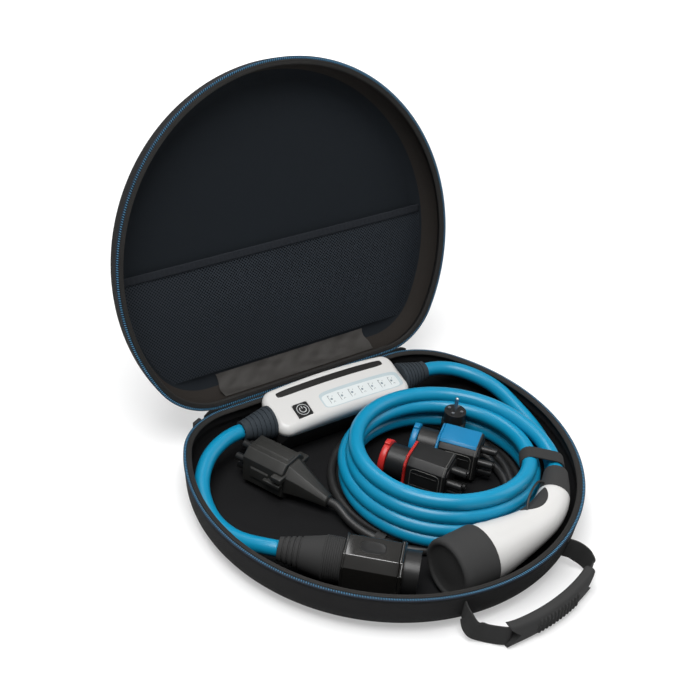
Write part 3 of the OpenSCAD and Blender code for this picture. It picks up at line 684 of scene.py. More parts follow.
@dataclass(frozen=True)
class Finish:
    """A surface finish: colour, gloss and the relief that it shows close up."""

    name: str
    colour: str
    roughness: float = 0.5
    contrast: float = 0.2
    relief: float = 0.3
    scale: float = 900.0
    coat: float = 0.0
    metallic: float = 0.0
    specular: float = 0.5

    coat_roughness = 0.12
    roughness_swing = 0.07
    least_roughness = 0.04

    def material(self) -> bpy.types.Material:
        """The material, made once."""
        return bpy.data.materials.get(self.name) or self.build()

    def build(self) -> bpy.types.Material:
        """Makes the material from the finish's relief.

        Returns:
            The material.
        """
        made = bpy.data.materials.new(self.name)
        made.use_nodes = True
        made.node_tree.nodes.clear()
        g = Graph(made.node_tree)
        height, tone = self.relief_of(g)
        colour = linear(self.colour)
        smoothest = max(self.least_roughness, self.roughness - self.roughness_swing)
        roughest = min(1.0, self.roughness + self.roughness_swing)
        bump = g.node("ShaderNodeBump", {"Strength": self.relief, "Distance": self.depth(), "Height": height})
        skin = g.node("ShaderNodeBsdfPrincipled", {
            "Base Color": g.mix(tone, shade(colour, 1 - self.contrast), shade(colour, 1 + self.contrast)),
            "Roughness": g.spread(tone, smoothest, roughest),
            "Metallic": self.metallic,
            "Coat Weight": self.coat,
            "Coat Roughness": self.coat_roughness,
            "Specular IOR Level": self.specular,
            "Normal": bump.outputs[0]})
        self.extras(g, skin)
        out = g.node("ShaderNodeOutputMaterial", {0: skin.outputs[0]})
        out.is_active_output = True
        return made

    def depth(self) -> float:
        """Depth of the relief in metres."""
        return 0.0002

    def relief_of(self, g: Graph) -> tuple[Socket, Socket]:
        """Height and tone sockets of the surface, both from 0 to 1.

        Args:
            g: The material's graph.

        Returns:
            The two sockets.
        """
        place = g.node("ShaderNodeTexCoord").outputs["Object"]
        grain = g.group(grain_group(), Vector=place, Scale=self.scale)
        return grain.outputs["Fine"], grain.outputs["Broad"]

    def extras(self, g: Graph, skin: bpy.types.Node) -> None:
        """Room for more nodes in a kind of finish."""


@dataclass(frozen=True)
class Cloth(Finish):
    """Woven cloth: threads at a pitch in metres over the piece's texture places."""

    pitch: float = 0.0011

    hollow_shade_share = 0.6

    def depth(self) -> float:
        """A third of the pitch."""
        return self.pitch / 3

    def pattern(self) -> bpy.types.NodeTree:
        """The weave's node group."""
        return weave_group()

    def relief_of(self, g: Graph) -> tuple[Socket, Socket]:
        """Thread height, and a tone that paints shade into the hollows between the threads, mixed with broad
        mottling.

        Args:
            g: The material's graph.

        Returns:
            The two sockets.
        """
        coord = g.node("ShaderNodeTexCoord")
        weave = g.group(self.pattern(), Vector=coord.outputs["UV"], Pitch=self.pitch)
        grain = g.group(grain_group(), Vector=coord.outputs["Object"], Scale=self.scale)
        # Thread tops lighter and the hollows between them darker: painted shade in the weave, mixed with
        # broad mottling.
        tone = g.math("ADD", g.math("MULTIPLY", weave.outputs["Height"], self.hollow_shade_share),
                      g.math("MULTIPLY", grain.outputs["Broad"], 1 - self.hollow_shade_share))
        return weave.outputs["Height"], tone


@dataclass(frozen=True)
class Ribbed(Cloth):
    """Woven tape with ribs along it."""

    def pattern(self) -> bpy.types.NodeTree:
        """The ribs' node group."""
        return ribs_group()


@dataclass(frozen=True)
class Net(Cloth):
    """Fine diagonal net with open holes."""

    def pattern(self) -> bpy.types.NodeTree:
        """The net's node group."""
        return net_group()

    def extras(self, g: Graph, skin: bpy.types.Node) -> None:
        """Holes between the threads."""
        net = next(n for n in g.tree.nodes if n.type == "GROUP" and n.node_tree == net_group())
        g.tree.links.new(net.outputs["Thread"], skin.inputs["Alpha"])


CASE_CLOTH = Cloth("case_cloth", "#181819", 0.8, 0.3, 0.4, 300.0, specular=0.25, pitch=0.0012)
LINING = Cloth("lining_cloth", "#171718", 0.9, 0.45, 0.35, 240.0, specular=0.15, pitch=0.0010)
LID_LINING = Cloth("lid_lining", "#12171c", 0.85, 0.35, 0.35, 240.0, specular=0.2, pitch=0.0012)
# Lid's inner side wall: the same lining cloth in a lighter brown-black, which paints the sheen on the wall.
SHEEN_SIDE_LINING = Cloth("lid_side_lining_painted_sheen", "#221e1b", 0.8, 0.35, 0.35, 240.0, specular=0.25, pitch=0.0012)
TAPE = Ribbed("zip_tape", "#282726", 0.75, 0.4, 0.5, 260.0, specular=0.25, pitch=0.0010)
ZIP_CORE = Ribbed("zip_core", "#0c1b2b", 0.6, 0.3, 0.3, 260.0, specular=0.3, pitch=0.0008)
HEM = Ribbed("hem_band", "#1d2025", 0.8, 0.35, 0.5, 260.0, specular=0.2, pitch=0.0010)
FLAP = Cloth("flap_cloth", "#33312f", 0.65, 0.3, 0.4, 160.0, specular=0.35, pitch=0.0008)
NET = Net("pocket_net_cloth", "#22272d", 0.7, 0.35, 0.4, 260.0, specular=0.25, pitch=0.0036)
WEBBING = Ribbed("webbing", "#19191b", 0.7, 0.4, 0.6, 260.0, specular=0.25, pitch=0.0013)
ZIP_TEETH = Finish("zip_teeth", "#3f7a9c", 0.35, 0.2, 0.1, 1500.0)
JACKET = Finish("cable_jacket", "#0a86ad", 0.33, 0.06, 0.05, 1400.0, specular=0.4)
CORD_JACKET = Finish("cord_jacket", "#232323", 0.45, 0.2, 0.15, 1500.0)
WHITE = Finish("white_shell", "#cdccca", 0.32, 0.012, 0.02, 2200.0, specular=0.4)
BLACK = Finish("black_shell", "#1c1c1c", 0.38, 0.2, 0.12, 2000.0, specular=0.35)
# Flat black strip that paints the shade of the control box's recessed slot.
SLOT_SHADE_BLACK = Finish("slot_painted_shade", "#201f1e", 0.3, 0.2, 0.04, 1500.0)
PLUG_BLACK = Finish("plug_shell", "#272725", 0.45, 0.2, 0.25, 1800.0)
# Lighter grey for the adapters' beads: painted highlights along the housing's edges.
HIGHLIGHT_RIDGE = Finish("ridge_painted_highlight", "#565552", 0.4, 0.2, 0.1, 1200.0)
RUBBER = Finish("black_rubber", "#2a2a2c", 0.42, 0.15, 0.15, 1500.0, specular=0.22)
NAVY = Finish("navy_rubber", "#1f262e", 0.45, 0.18, 0.2, 1500.0)
SMOKED = Finish("smoked_shell", "#1d1c1a", 0.14, 0.3, 0.03, 900.0, coat=0.7)
RED = Finish("red_shell", "#c02a25", 0.38, 0.08, 0.1, 1800.0)
BLUE = Finish("blue_shell", "#0a76a6", 0.38, 0.08, 0.1, 1800.0)
METAL = Finish("bare_metal", "#b9bdc2", 0.3, 0.12, 0.1, 2500.0, metallic=1.0)
PANEL = Finish("label_panel", "#d2d7d7", 0.4, 0.02, 0.03, 2500.0)
PANEL_EDGE = Finish("label_edge", "#b3c0c4", 0.4, 0.03, 0.03, 2500.0)
LAMP = Finish("lamp_lens", "#8b979e", 0.25, 0.1, 0.05, 1200.0, coat=0.3)
PRINT = Finish("printed_mark", "#5a6064", 0.5, 0.1, 0.05, 1500.0)
RING_PRINT = Finish("button_mark", "#cfd2d3", 0.45, 0.06, 0.05, 1500.0)
BOARD = Finish("circuit_board", "#2f6b3c", 0.45, 0.15, 0.2, 900.0)
RELAY = Finish("relay_case", "#20242a", 0.4, 0.15, 0.15, 1500.0)

# Finishes of the CAD nodes that stay in the picture
NODE_FINISH: dict[str, Finish] = {
    "zip_slider": RUBBER, "hinge_band": RUBBER, "box_lower_cover": BLACK, "box_seal": NAVY,
    "box_board": BOARD, "box_relays": RELAY, "box_button": BLACK, "box_screws": METAL,
    "box_boot_in": NAVY, "box_boot_out": NAVY,
    "coupling_boot": RUBBER, "coupling_grip": RUBBER, "coupling_face": BLACK, "coupling_contacts": METAL,
    "connector_nose": BLACK, "connector_contacts": METAL, "red_sleeves": BLACK, "blue_sleeves": BLACK,
    "plug_sleeves": BLACK, "cord_tie": RUBBER, "round_plug": BLACK, "round_plug_pins": METAL,
}


# The case


@dataclass(frozen=True)
class CaseForm:
    """Sizes of the case in millimetres, as in the CAD."""

    radius: float = 200.0
    hinge_y: float = 140.0
    corner_r: float = 76.0
    base_h: float = 46.0
    lid_h: float = 36.0
    wall: float = 4.0
    edge_r: float = 26.0
    draft: float = 5.0
    lid_open: float = 106.0
    zip_gap: float = 0.4
    tape_w: float = 7.0
    tape_t: float = 2.2
    chain_w: float = 2.6

    @property
    def corner(self) -> Pair:
        """Centre of the right corner."""
        y = self.hinge_y - self.corner_r
        return math.sqrt((self.radius - self.corner_r) ** 2 - y**2), y

    @property
    def rim_top(self) -> float:
        """Height of the zip's upper side."""
        return self.base_h - self.zip_gap

    @property
    def shell_top(self) -> float:
        """Height where the shell stops under the zip tape."""
        return self.rim_top - self.tape_t

    @property
    def rim_u(self) -> float:
        """Outer side of the shell under the zip, measured outwards from the rim line."""
        return self.side_u(self.base_h, self.shell_top, 0)

    @property
    def lid_inside(self) -> float:
        """Height of the shut lid's inner side."""
        return self.base_h + self.lid_h - self.wall

    def outline(self, arc: int = 150, corner: int = 26, straight: int = 24) -> tuple[Array, Array]:
        """Rim line of the case, anticlockwise from the left corner.

        Args:
            arc: Steps in the big arc.
            corner: Steps in each corner.
            straight: Steps along the hinge.

        Returns:
            Points of the line and their outward directions.
        """
        cx, cy = self.corner
        tangent = math.atan2(cy, cx)
        x = np.linspace(cx, -cx, straight + 1)[1:-1]
        big = ways(np.linspace(math.pi - tangent, 2 * math.pi + tangent, arc + 1))
        right = ways(np.linspace(tangent, math.pi / 2, corner + 1)[1:])
        back = np.tile([0.0, 1.0], (len(x), 1))
        left = ways(np.linspace(math.pi / 2, math.pi - tangent, corner + 1)[:-1])
        hinge = np.column_stack([x, np.full(len(x), self.hinge_y)])
        line = [self.radius * big, self.corner_r * right + [cx, cy], hinge, self.corner_r * left + [-cx, cy]]
        return np.vstack(line), np.vstack([big, right, back, left])

    def edge_u(self, h: float) -> float:
        """Middle of the rounded edge, measured outwards from the rim line."""
        d = math.radians(self.draft)
        return -self.edge_r * math.cos(d) - (h - self.edge_r + self.edge_r * math.sin(d)) * math.tan(d)

    def side_u(self, h: float, z: float, t: float) -> float:
        """Side wall at height z, moved inwards by t."""
        d = math.radians(self.draft)
        return -(h - z) * math.tan(d) - t / math.cos(d)

    def half_width(self, y: Array, u: float) -> Array:
        """Half of the case's width at y, inside the outline moved by u.

        Args:
            y: Places along Y.
            u: Outward distance from the rim line.

        Returns:
            The half width at each place.
        """
        cx, cy = self.corner
        big = np.sqrt(np.clip((self.radius + u) ** 2 - y**2, 0, None))
        small = cx + np.sqrt(np.clip((self.corner_r + u) ** 2 - (y - cy) ** 2, 0, None))
        return np.where(y > (self.radius + u) * cy / (self.radius - self.corner_r), small, big)

    def dish(self, h: float, steps: int = 14) -> tuple[Array, Array]:
        """Wall sections (u, z) of one half, from the floor to the rim.

        Args:
            h: Height of the half.
            steps: Steps in the rounded edge.

        Returns:
            The outer and the inner section.
        """
        top = h - self.zip_gap - self.tape_t
        ring = ways(np.radians(np.linspace(-90, -self.draft, steps + 1)))
        centre = np.array([self.edge_u(h), self.edge_r])
        rise = np.linspace(0.2, 1, 5)[:, None]
        walls = []
        for t in (0.0, self.wall):
            arc = centre + (self.edge_r - t) * ring
            end = np.array([self.side_u(h, top, t), top])
            walls.append(np.vstack([arc, arc[-1] + rise * (end - arc[-1])]))
        return walls[0], walls[1]

    def open(self, shape: Shape) -> Shape:
        """What was drawn on the shut lid, swung to the open lid.

        Args:
            shape: Shape on the shut lid.

        Returns:
            The same shape on the open lid.
        """
        pivot = np.array([0, self.hinge_y, self.base_h])
        turn = turn_x(-self.lid_open)
        return shape.moved(turn, pivot - turn @ pivot)

    def over(self, shape: Shape, top: float) -> Shape:
        """What was drawn from the floor up, hung from height top instead and swung to the open lid."""
        return self.open(shape.moved(np.diag([1.0, 1.0, -1.0]), (0, 0, top)))


@dataclass(frozen=True)
class ZipCase:
    """The case's two shells with their linings, and the zip along both rims."""

    form: CaseForm
    floor_rings: int = 10
    floor_middle: float = 0.08
    turn_in_rows: int = 5
    side_first_row: int = 6
    side_rows_left: int = 3
    tape_ribs: int = 5
    rib_depth: float = 0.28
    tape_bevel: float = 0.4
    tape_lap: float = 1.6
    lap_start: float = 0.72
    lap_drop: float = 10.4
    tooth_pitch: float = 2.3
    tooth_half: Place = (1.2, 0.45, 0.6)
    tooth_sides: int = 8
    tooth_lean: float = 0.25
    core_half: Pair = (1.7, 0.8)

    @cached_property
    def rim(self) -> tuple[Array, Array, Array]:
        """Rim line, its outward directions and the distance along it."""
        line, way = self.form.outline()
        return line, way, round_trip(line)

    def swept(self, section: Array, closed: bool) -> Shape:
        """Section swept round the case: P(i, j) = (line_j + u_i way_j, z_i).

        Args:
            section: Points (u, z).
            closed: The section is a closed outline.

        Returns:
            The surface.
        """
        line, way, length = self.rim
        plan = line[None] + section[:, :1, None] * way[None]
        height = np.broadcast_to(section[:, 1:, None], (*plan.shape[:2], 1))
        girth = round_trip(section) if closed else run(section)
        uv = places(girth, length)[..., ::-1]
        return Shape.grid(np.concatenate([plan, height], axis=2), uv, closed, True)

    def floor(self, u: float, z: float) -> Shape:
        """Floor inside the outline at u: P(s, j) = (s (line_j + u way_j), z), s from 1 to near 0.

        Args:
            u: Outward distance from the rim line.
            z: Height of the floor.

        Returns:
            The floor, closed in its middle.
        """
        line, way, _ = self.rim
        s = np.linspace(1, self.floor_middle, self.floor_rings)[:, None, None]
        plan = s * (line + u * way)[None]
        points = np.concatenate([plan, np.full((*plan.shape[:2], 1), z)], axis=2)
        shape = Shape.grid(points, np.concatenate([plan, plan[:, :1]], axis=1), False, True)
        return shape.cap(np.arange(len(shape.points) - len(line), len(shape.points)))

    def shell(self, h: float) -> tuple[Shape, Shape, Shape]:
        """One half of the case.

        Args:
            h: Height of the half.

        Returns:
            The outer skin, which goes over the rim, the floor lining and the side lining inside it.
        """
        outer, inner = self.form.dish(h)
        over_rim = np.vstack([outer, inner[::-1][: self.turn_in_rows]])
        skin = [self.swept(over_rim, False), self.floor(*outer[0])]
        panel = [self.swept(inner[: self.side_first_row + 1], False), self.floor(*inner[0])]
        side = inner[self.side_first_row : -self.side_rows_left]
        return Shape.joined(skin), Shape.joined(panel), self.swept(side, False)

    def tape(self) -> Shape:
        """Zip tape over the rim: z = top - depth cos(2 pi n v)^2 - drop (v - start)^1.5 across n ribs.

        Returns:
            The base's tape.
        """
        f = self.form
        out = f.rim_u - f.chain_w
        v = np.linspace(0, 1, 41)
        wide = f.tape_w - self.tape_lap
        ribs = self.rib_depth * np.cos(2 * self.tape_ribs * math.pi * v) ** 2
        lap = self.lap_drop * np.clip(v - self.lap_start, 0, 1) ** 1.5
        top = np.column_stack([out - self.tape_bevel - (wide - self.tape_bevel) * v, f.rim_top - ribs - lap])
        under = [[out - wide + 0.6, f.shell_top - 1.4], [out - 3.2, f.shell_top], [out, f.shell_top],
                 [out, f.rim_top - 0.6]]
        return self.swept(np.vstack([top, under]), True)

    def teeth(self) -> Shape:
        """Zip coil: one rounded loop for each pitch, leaning a little.

        Loop (a, b): (u, t, z) = half sizes times (ca cb, sa cb, sb) with squared-off cosines.

        Returns:
            The base's loops.
        """
        f = self.form
        line, way, _ = self.rim
        loop = line + (f.rim_u - f.chain_w / 2) * way
        along = round_trip(loop)
        count = int(along[-1] / self.tooth_pitch)
        at = np.arange(count) * along[-1] / count
        spots, out = (read_off(at, along, np.vstack([v, v[:1]])) for v in (loop, way))
        out = unit(out)
        ahead = out[:, ::-1] * [-1, 1]
        half_u, half_t, half_z = self.tooth_half
        around = ways(full_turn(self.tooth_sides))
        ca, sa = (np.sign(around) * np.abs(around) ** 0.7).T
        b = np.linspace(-math.pi / 2, math.pi / 2, 5)[1:-1]
        cb = np.cos(b) ** 0.5
        tooth = np.stack([half_u * np.outer(cb, ca), half_t * np.outer(cb, sa),
                          half_z * np.outer(np.sin(b), np.ones(self.tooth_sides))], axis=-1)
        one = Shape.rings(tooth, np.zeros((len(b), self.tooth_sides + 1, 2)))
        local = np.broadcast_to(one.points, (count, *one.points.shape)).copy()
        local[..., 1] += self.tooth_lean * local[..., 0]
        plan = spots[:, None] + local[..., :1] * out[:, None] + local[..., 1:2] * ahead[:, None]
        points = np.concatenate([plan, local[..., 2:] + f.rim_top - half_z], axis=2).reshape(-1, 3)
        steps = (np.arange(count) * len(one.points))[:, None, None]
        faces = [(part[None] + steps).reshape(-1, part.shape[1]) for part in one.faces]
        return Shape(points, faces, [np.tile(uv, (count, 1, 1)) for uv in one.uvs])

    def core(self) -> Shape:
        """Dark cord that the zip's loops are sewn to, at the outer edge of the rim.

        Returns:
            The base's cord.
        """
        f = self.form
        middle = [f.rim_u - f.chain_w / 2, f.shell_top + self.core_half[1]]
        return self.swept(superellipse(*self.core_half, 4, 20) + middle, True)

    def build(self) -> None:
        """Makes the shells, the linings and the zip."""
        f = self.form
        skin, panel, side = self.shell(f.base_h)
        skin.piece("base_skin", CASE_CLOTH, Body.CASE, "case_fabric", ["base_shell"])
        Shape.joined([panel, side]).piece("base_lining", LINING, Body.CASE, "case_fabric")
        skin, panel, side = (f.over(shape, f.base_h + f.lid_h) for shape in self.shell(f.lid_h))
        skin.piece("lid_skin", CASE_CLOTH, Body.LID, "case_fabric", ["lid_shell"])
        panel.piece("lid_lining", LID_LINING, Body.LID, "case_fabric")
        # The lid's side wall gets its own lighter brown-black colour: painted sheen on the lining.
        side.piece("lid_side_lining_painted_sheen", SHEEN_SIDE_LINING, Body.LID, "case_fabric")
        for name, shape, finish, slot, in_cad in (("zip_tape", self.tape(), TAPE, "tape_fabric", True),
                                                  ("zip_teeth", self.teeth(), ZIP_TEETH, "zip_blue", True),
                                                  ("zip_core", self.core(), ZIP_CORE, "zip_blue", False)):
            for half, body, part in (("base", Body.CASE, shape),
                                     ("lid", Body.LID, f.over(shape, 2 * f.base_h))):
                nodes = [f"{half}_{name}"] if in_cad else []
                part.piece(f"{half}_{name}_run", finish, body, slot, nodes)


@dataclass(frozen=True)
class NetPocket:
    """Net pocket inside the lid with soft folds, and the gathered hem along its upper edge."""

    form: CaseForm
    low: float = 29.0
    top: float = 152.0
    side_stand: float = 3.0
    side_gap: float = 0.4
    net_stand: float = 3.4
    sag: float = 1.7
    fold: float = 1.3
    hem_w: float = 8.0
    hem_half_t: float = 0.95
    hem_stand: float = 4.0
    hem_sag: float = 0.5
    hem_gap: float = 0.6
    gather: float = 0.28
    gather_pitch: float = 5.5

    @property
    def edge_u(self) -> float:
        """Side of the pocket, where the lid's rounded edge has risen by side_stand.

        Returns:
            Its distance outwards from the rim line.
        """
        f = self.form
        r = f.edge_r - f.wall
        return f.edge_u(f.lid_h) + math.sqrt(r**2 - (r - self.side_stand) ** 2) - self.side_gap

    @property
    def net_low(self) -> float:
        """The y of the net's lower edge, on the shut lid."""
        return self.form.hinge_y - self.low

    @property
    def net_top(self) -> float:
        """The y of the net's upper edge, under the hem."""
        return self.form.hinge_y - self.top + self.hem_w

    def net(self) -> Shape:
        """The net: z = inside - stand - k (sag + fold w), with w three waves and no slack k at the edges.

        Returns:
            The net on the shut lid.
        """
        v = np.linspace(0, 1, 60)[:, None]
        s = np.linspace(-1, 1, 160)[None]
        y = self.net_low + (self.net_top - self.net_low) * v
        x = s * self.form.half_width(y, self.edge_u)
        slack = np.sin(math.pi * v) ** 0.6 * (1 - s**4)
        folds = (0.6 * np.sin(4 * s + 5 * v) + 0.35 * np.sin(9 * s - 4 * v + 1)
                 + 0.15 * np.sin(17 * s + 3 * v))
        z = self.form.lid_inside - self.net_stand - slack * (self.sag + self.fold * folds)
        flat = np.stack([x, np.broadcast_to(y, x.shape)], axis=-1)
        return Shape.grid(np.concatenate([flat, z[..., None]], axis=2), flat)

    def hem(self) -> Shape:
        """The hem: a flat section along the net's edge, with a ripple of gathers on its faces.

        Returns:
            The hem on the shut lid.
        """
        f = self.form
        y = self.net_top - self.hem_w / 2
        reach = float(f.half_width(np.array([y]), self.edge_u)[0]) - self.hem_gap
        s = np.linspace(-1, 1, 260)
        z = f.lid_inside - self.hem_stand - self.hem_sag * (1 - s**4) * (1 + 0.5 * np.sin(4 * s + 5))
        path = np.column_stack([s * reach, np.full_like(s, y), z])
        section = superellipse(self.hem_w / 2, self.hem_half_t, 5, 36)[None] * np.ones((len(s), 1, 1))
        ripple = self.gather * np.sin(s * reach * 2 * math.pi / self.gather_pitch)
        section[..., 1] += ripple[:, None] * np.cos(section[..., 0] / self.hem_w * math.pi)
        return sweep(path, section)

    def build(self) -> None:
        """Makes the net and its hem."""
        f = self.form
        obj = f.open(self.net()).piece("pocket_mesh", NET, Body.LID, "net_fabric", ["pocket_net"])
        hem = f.open(self.hem()).piece("pocket_hem_band", HEM, Body.LID, "tape_fabric", ["pocket_hem"])
        y = np.linspace(self.net_low, self.net_top, 60)
        wide = 2 * f.half_width(y, self.edge_u)


@dataclass(frozen=True)
class HingeCloth:
    """Cloth of the hinge: the creased flap inside the lid, and the lips at the hinge's ends."""

    form: CaseForm
    flap_half: float = 95.0
    flap_w: float = 30.0
    flap_first: float = 5.0
    flap_span: float = 80.0
    flap_gap: float = 0.9
    crease: float = 1.5
    flap_flat: Pair = (0.19, 0.0298)
    lip_start: float = 94.8
    lip_arc: float = 18.0
    lip_depth: float = 4.0
    lip_over: float = 0.4
    lip_rise: float = 4.0
    lip_slope: float = 2.2
    lip_half_t: float = 0.3
    lip_out: float = 0.4
    straight_rows: int = 8
    arc_rows: int = 30
    sides: int = 16

    def lips(self) -> Shape:
        """Lips outside the base's rim that rise where the lid's rim leaves it.

        P(i, j) = (rim_i + u_j n_i, z), with z from depth under the rim to over + min(slope d_i, rise)
        (1 - e_i^4) above it, where d_i is the rim's distance from the hinge line and e_i runs from 0 to 1
        round the corner.

        Returns:
            Both lips.
        """
        f = self.form
        low = f.base_h - self.lip_depth
        e = np.linspace(0, 1, self.arc_rows)
        behind = np.tile([0.0, 1.0], (self.straight_rows, 1))
        way = np.vstack([behind, ways(np.radians(90 - self.lip_arc * e))])
        rim = np.array(f.corner) + f.corner_r * way
        rim[: self.straight_rows, 0] = np.linspace(self.lip_start, f.corner[0] - 1, self.straight_rows)
        gap = f.hinge_y - rim[:, 1]
        e = np.concatenate([np.zeros(self.straight_rows), e])
        rise = np.minimum(self.lip_slope * gap, self.lip_rise) * (1 - e**4)
        u, v = superellipse(self.lip_half_t, 0.5, 4, self.sides).T
        out = self.lip_half_t + self.lip_out * np.clip(gap / 0.5, 0, 1)
        plan = rim[:, None] + (out[:, None] + u[None])[..., None] * way[:, None]
        z = low + (v + 0.5) * (f.base_h + self.lip_over - low + rise)[:, None]
        uv = places(run(rim), np.linspace(0, 10, self.sides + 1))
        right = Shape.rings(np.concatenate([plan, z[..., None]], axis=2), uv)
        return Shape.joined([right, right.moved(np.diag([-1.0, 1.0, 1.0]))])

    def flap(self) -> Shape:
        """Flap round the lid's inner edge: an arc whose radius r(s, t) sinks in three waves of creases.

        Returns:
            The flap on the shut lid.
        """
        f = self.form
        t = np.linspace(0, 1, 24)[:, None]
        s = np.linspace(-1, 1, 150)[None]
        a = np.radians(self.flap_first + self.flap_span * t)
        creases = 0.9 * (0.7 * np.sin(11 * s + 4 * t) + 0.5 * np.sin(23 * s - 7 * t + 1)
                         + 0.4 * np.sin(5 * s + 9 * t))
        loose = np.sin(math.pi * np.clip(t * 1.02, 0, 1)) ** 0.7
        r = f.edge_r - f.wall - self.flap_gap - self.crease * (1 + creases) * loose
        x = self.flap_half * s + 1.5 * np.sin(6 * t) * s
        y = f.hinge_y + f.edge_u(f.lid_h) + r * np.cos(a)
        z = f.base_h + f.lid_h - f.edge_r + r * np.sin(a)
        uv = np.stack([x, np.broadcast_to(self.flap_w * t, x.shape)], axis=-1)
        return Shape.grid(np.stack([x, y, z], axis=-1), uv)

    def build(self) -> None:
        """Makes the lips and the flap."""
        self.lips().piece("hinge_ends", TAPE, Body.CASE, "tape_fabric")
        flap = self.form.open(self.flap())
        obj = flap.piece("hinge_cloth", FLAP, Body.LID, "tape_fabric", ["hinge_flap"])


@dataclass(frozen=True)
class Handle:
    """The carrying handle: webbing straps that stand on edge, and a moulded grip bent round the case."""

    radius: float = 228.0
    root_r: float = 198.0
    root_x: float = 67.0
    root_shift: float = -5.0
    root_z: float = 27.0
    end_z: float = 13.0
    end_middle: float = 1.0
    end_angles: Pair = (14.9, 13.4)
    strap_half: Pair = (1.0, 11.0)
    strap_turn: float = 6.0
    grip_half: float = 14.5
    grip_t: float = 12.0
    grip_h: float = 23.0
    grip_turn: float = 7.0
    notch_depth: float = 11.0
    notch_half: float = 9.0
    rib_count: int = 12
    rib_step: float = 1.15
    rib_half_w: float = 1.6
    rib_half_h: float = 8.5
    rib_depth: float = 1.8

    def end(self, degrees: float) -> list[float]:
        """Place inside the grip at an angle from -Y."""
        a = math.radians(degrees)
        return [self.radius * math.sin(a), -self.radius * math.cos(a), self.end_z]

    def straps(self) -> Shape:
        """Straps: a flat woven section with thick edges along a path from the case into the grip.

        Returns:
            Both straps.
        """
        bends = {-1: [[0, 0, 0], [-3, -7, -2], [-2, -15, -10], [6, -23, -15]],
                 1: [[0, 0, 0], [7, -7, -3], [13, -16, -10], [12, -25, -15]]}
        section = superellipse(*self.strap_half, 7, 40)
        section[:, 0] *= 0.8 + 0.3 * np.abs(section[:, 1] / self.strap_half[1]) ** 6
        parts = []
        for s, steps in bends.items():
            x = s * self.root_x + self.root_shift
            root = np.array([x, -math.sqrt(self.root_r**2 - x**2), self.root_z])
            ends = [self.end(self.end_middle + s * degrees) for degrees in self.end_angles]
            parts.append(sweep(even(catmull_rom([*(root + np.array(steps)), *ends], 12), 1.0), section))
        return Shape.joined(parts).moved(turn_z(self.strap_turn))

    def grip(self) -> Shape:
        """Grip: a rounded bar with notched ends and a row of ribs.

        P(s, j): angle s (half - notch(z_j)), radius R + x_j + rib(angle, z_j), height z_j.

        Returns:
            The grip, before its turn about Z.
        """
        half = math.radians(self.grip_half)
        section = superellipse(self.grip_t / 2, self.grip_h / 2, 3.6, 72)
        out, up = section[None, :, 0], section[None, :, 1]
        s = np.linspace(-1, 1, 300)[:, None]
        notch = self.notch_depth / self.radius * np.clip(1 - np.abs(up) / self.notch_half, 0, 1)
        angle = s * (half - notch)
        centres = np.radians((np.arange(self.rib_count) - (self.rib_count - 1) / 2) * self.rib_step)
        near = np.abs(angle[..., None] - centres).min(axis=-1) * self.radius
        rib = np.clip(self.rib_half_w - near, 0, 1) * np.clip((self.rib_half_h - np.abs(up)) / 1.5, 0, 1)
        r = self.radius + out + self.rib_depth * rib * (out > 2)
        z = up * (1 + 0.16 * np.abs(s) ** 8) + 0.58 * self.grip_h + 0.4
        points = np.stack([r * np.sin(angle), -r * np.cos(angle), z], axis=-1)
        uv = places(s[:, 0] * half * self.radius, round_trip(section))
        return self.close_ends(Shape.grid(points, uv, False, True), len(section))

    def close_ends(self, shape: Shape, n: int) -> Shape:
        """Closes the notched ends with strips between the sides of each prong.

        Args:
            shape: The open grip.
            n: Points in its section.

        Returns:
            The same shape, closed.
        """
        j = np.arange(n // 4 - 1)
        for start in (0, len(shape.points) - n):
            for first in (0, n // 2):
                low, high = first + j, first + n // 2 - j
                quads = start + np.stack([low, low + 1, high - 1, high % n], axis=1)
                tip = start + first + n // 4 + np.array([[-1, 0, 1]])
                for part in (quads, tip):
                    shape.faces.append(part)
                    shape.uvs.append(shape.points[part][..., :2])
        return shape

    def build(self) -> None:
        """Makes the straps and the grip."""
        self.straps().piece("strap_webbing", WEBBING, Body.CASE, "webbing", ["handle_straps"])
        grip = self.grip().moved(turn_z(self.grip_turn))
        grip.piece("grip_rubber", RUBBER, Body.CASE, "black_rubber", ["handle_grip"])


# The contents


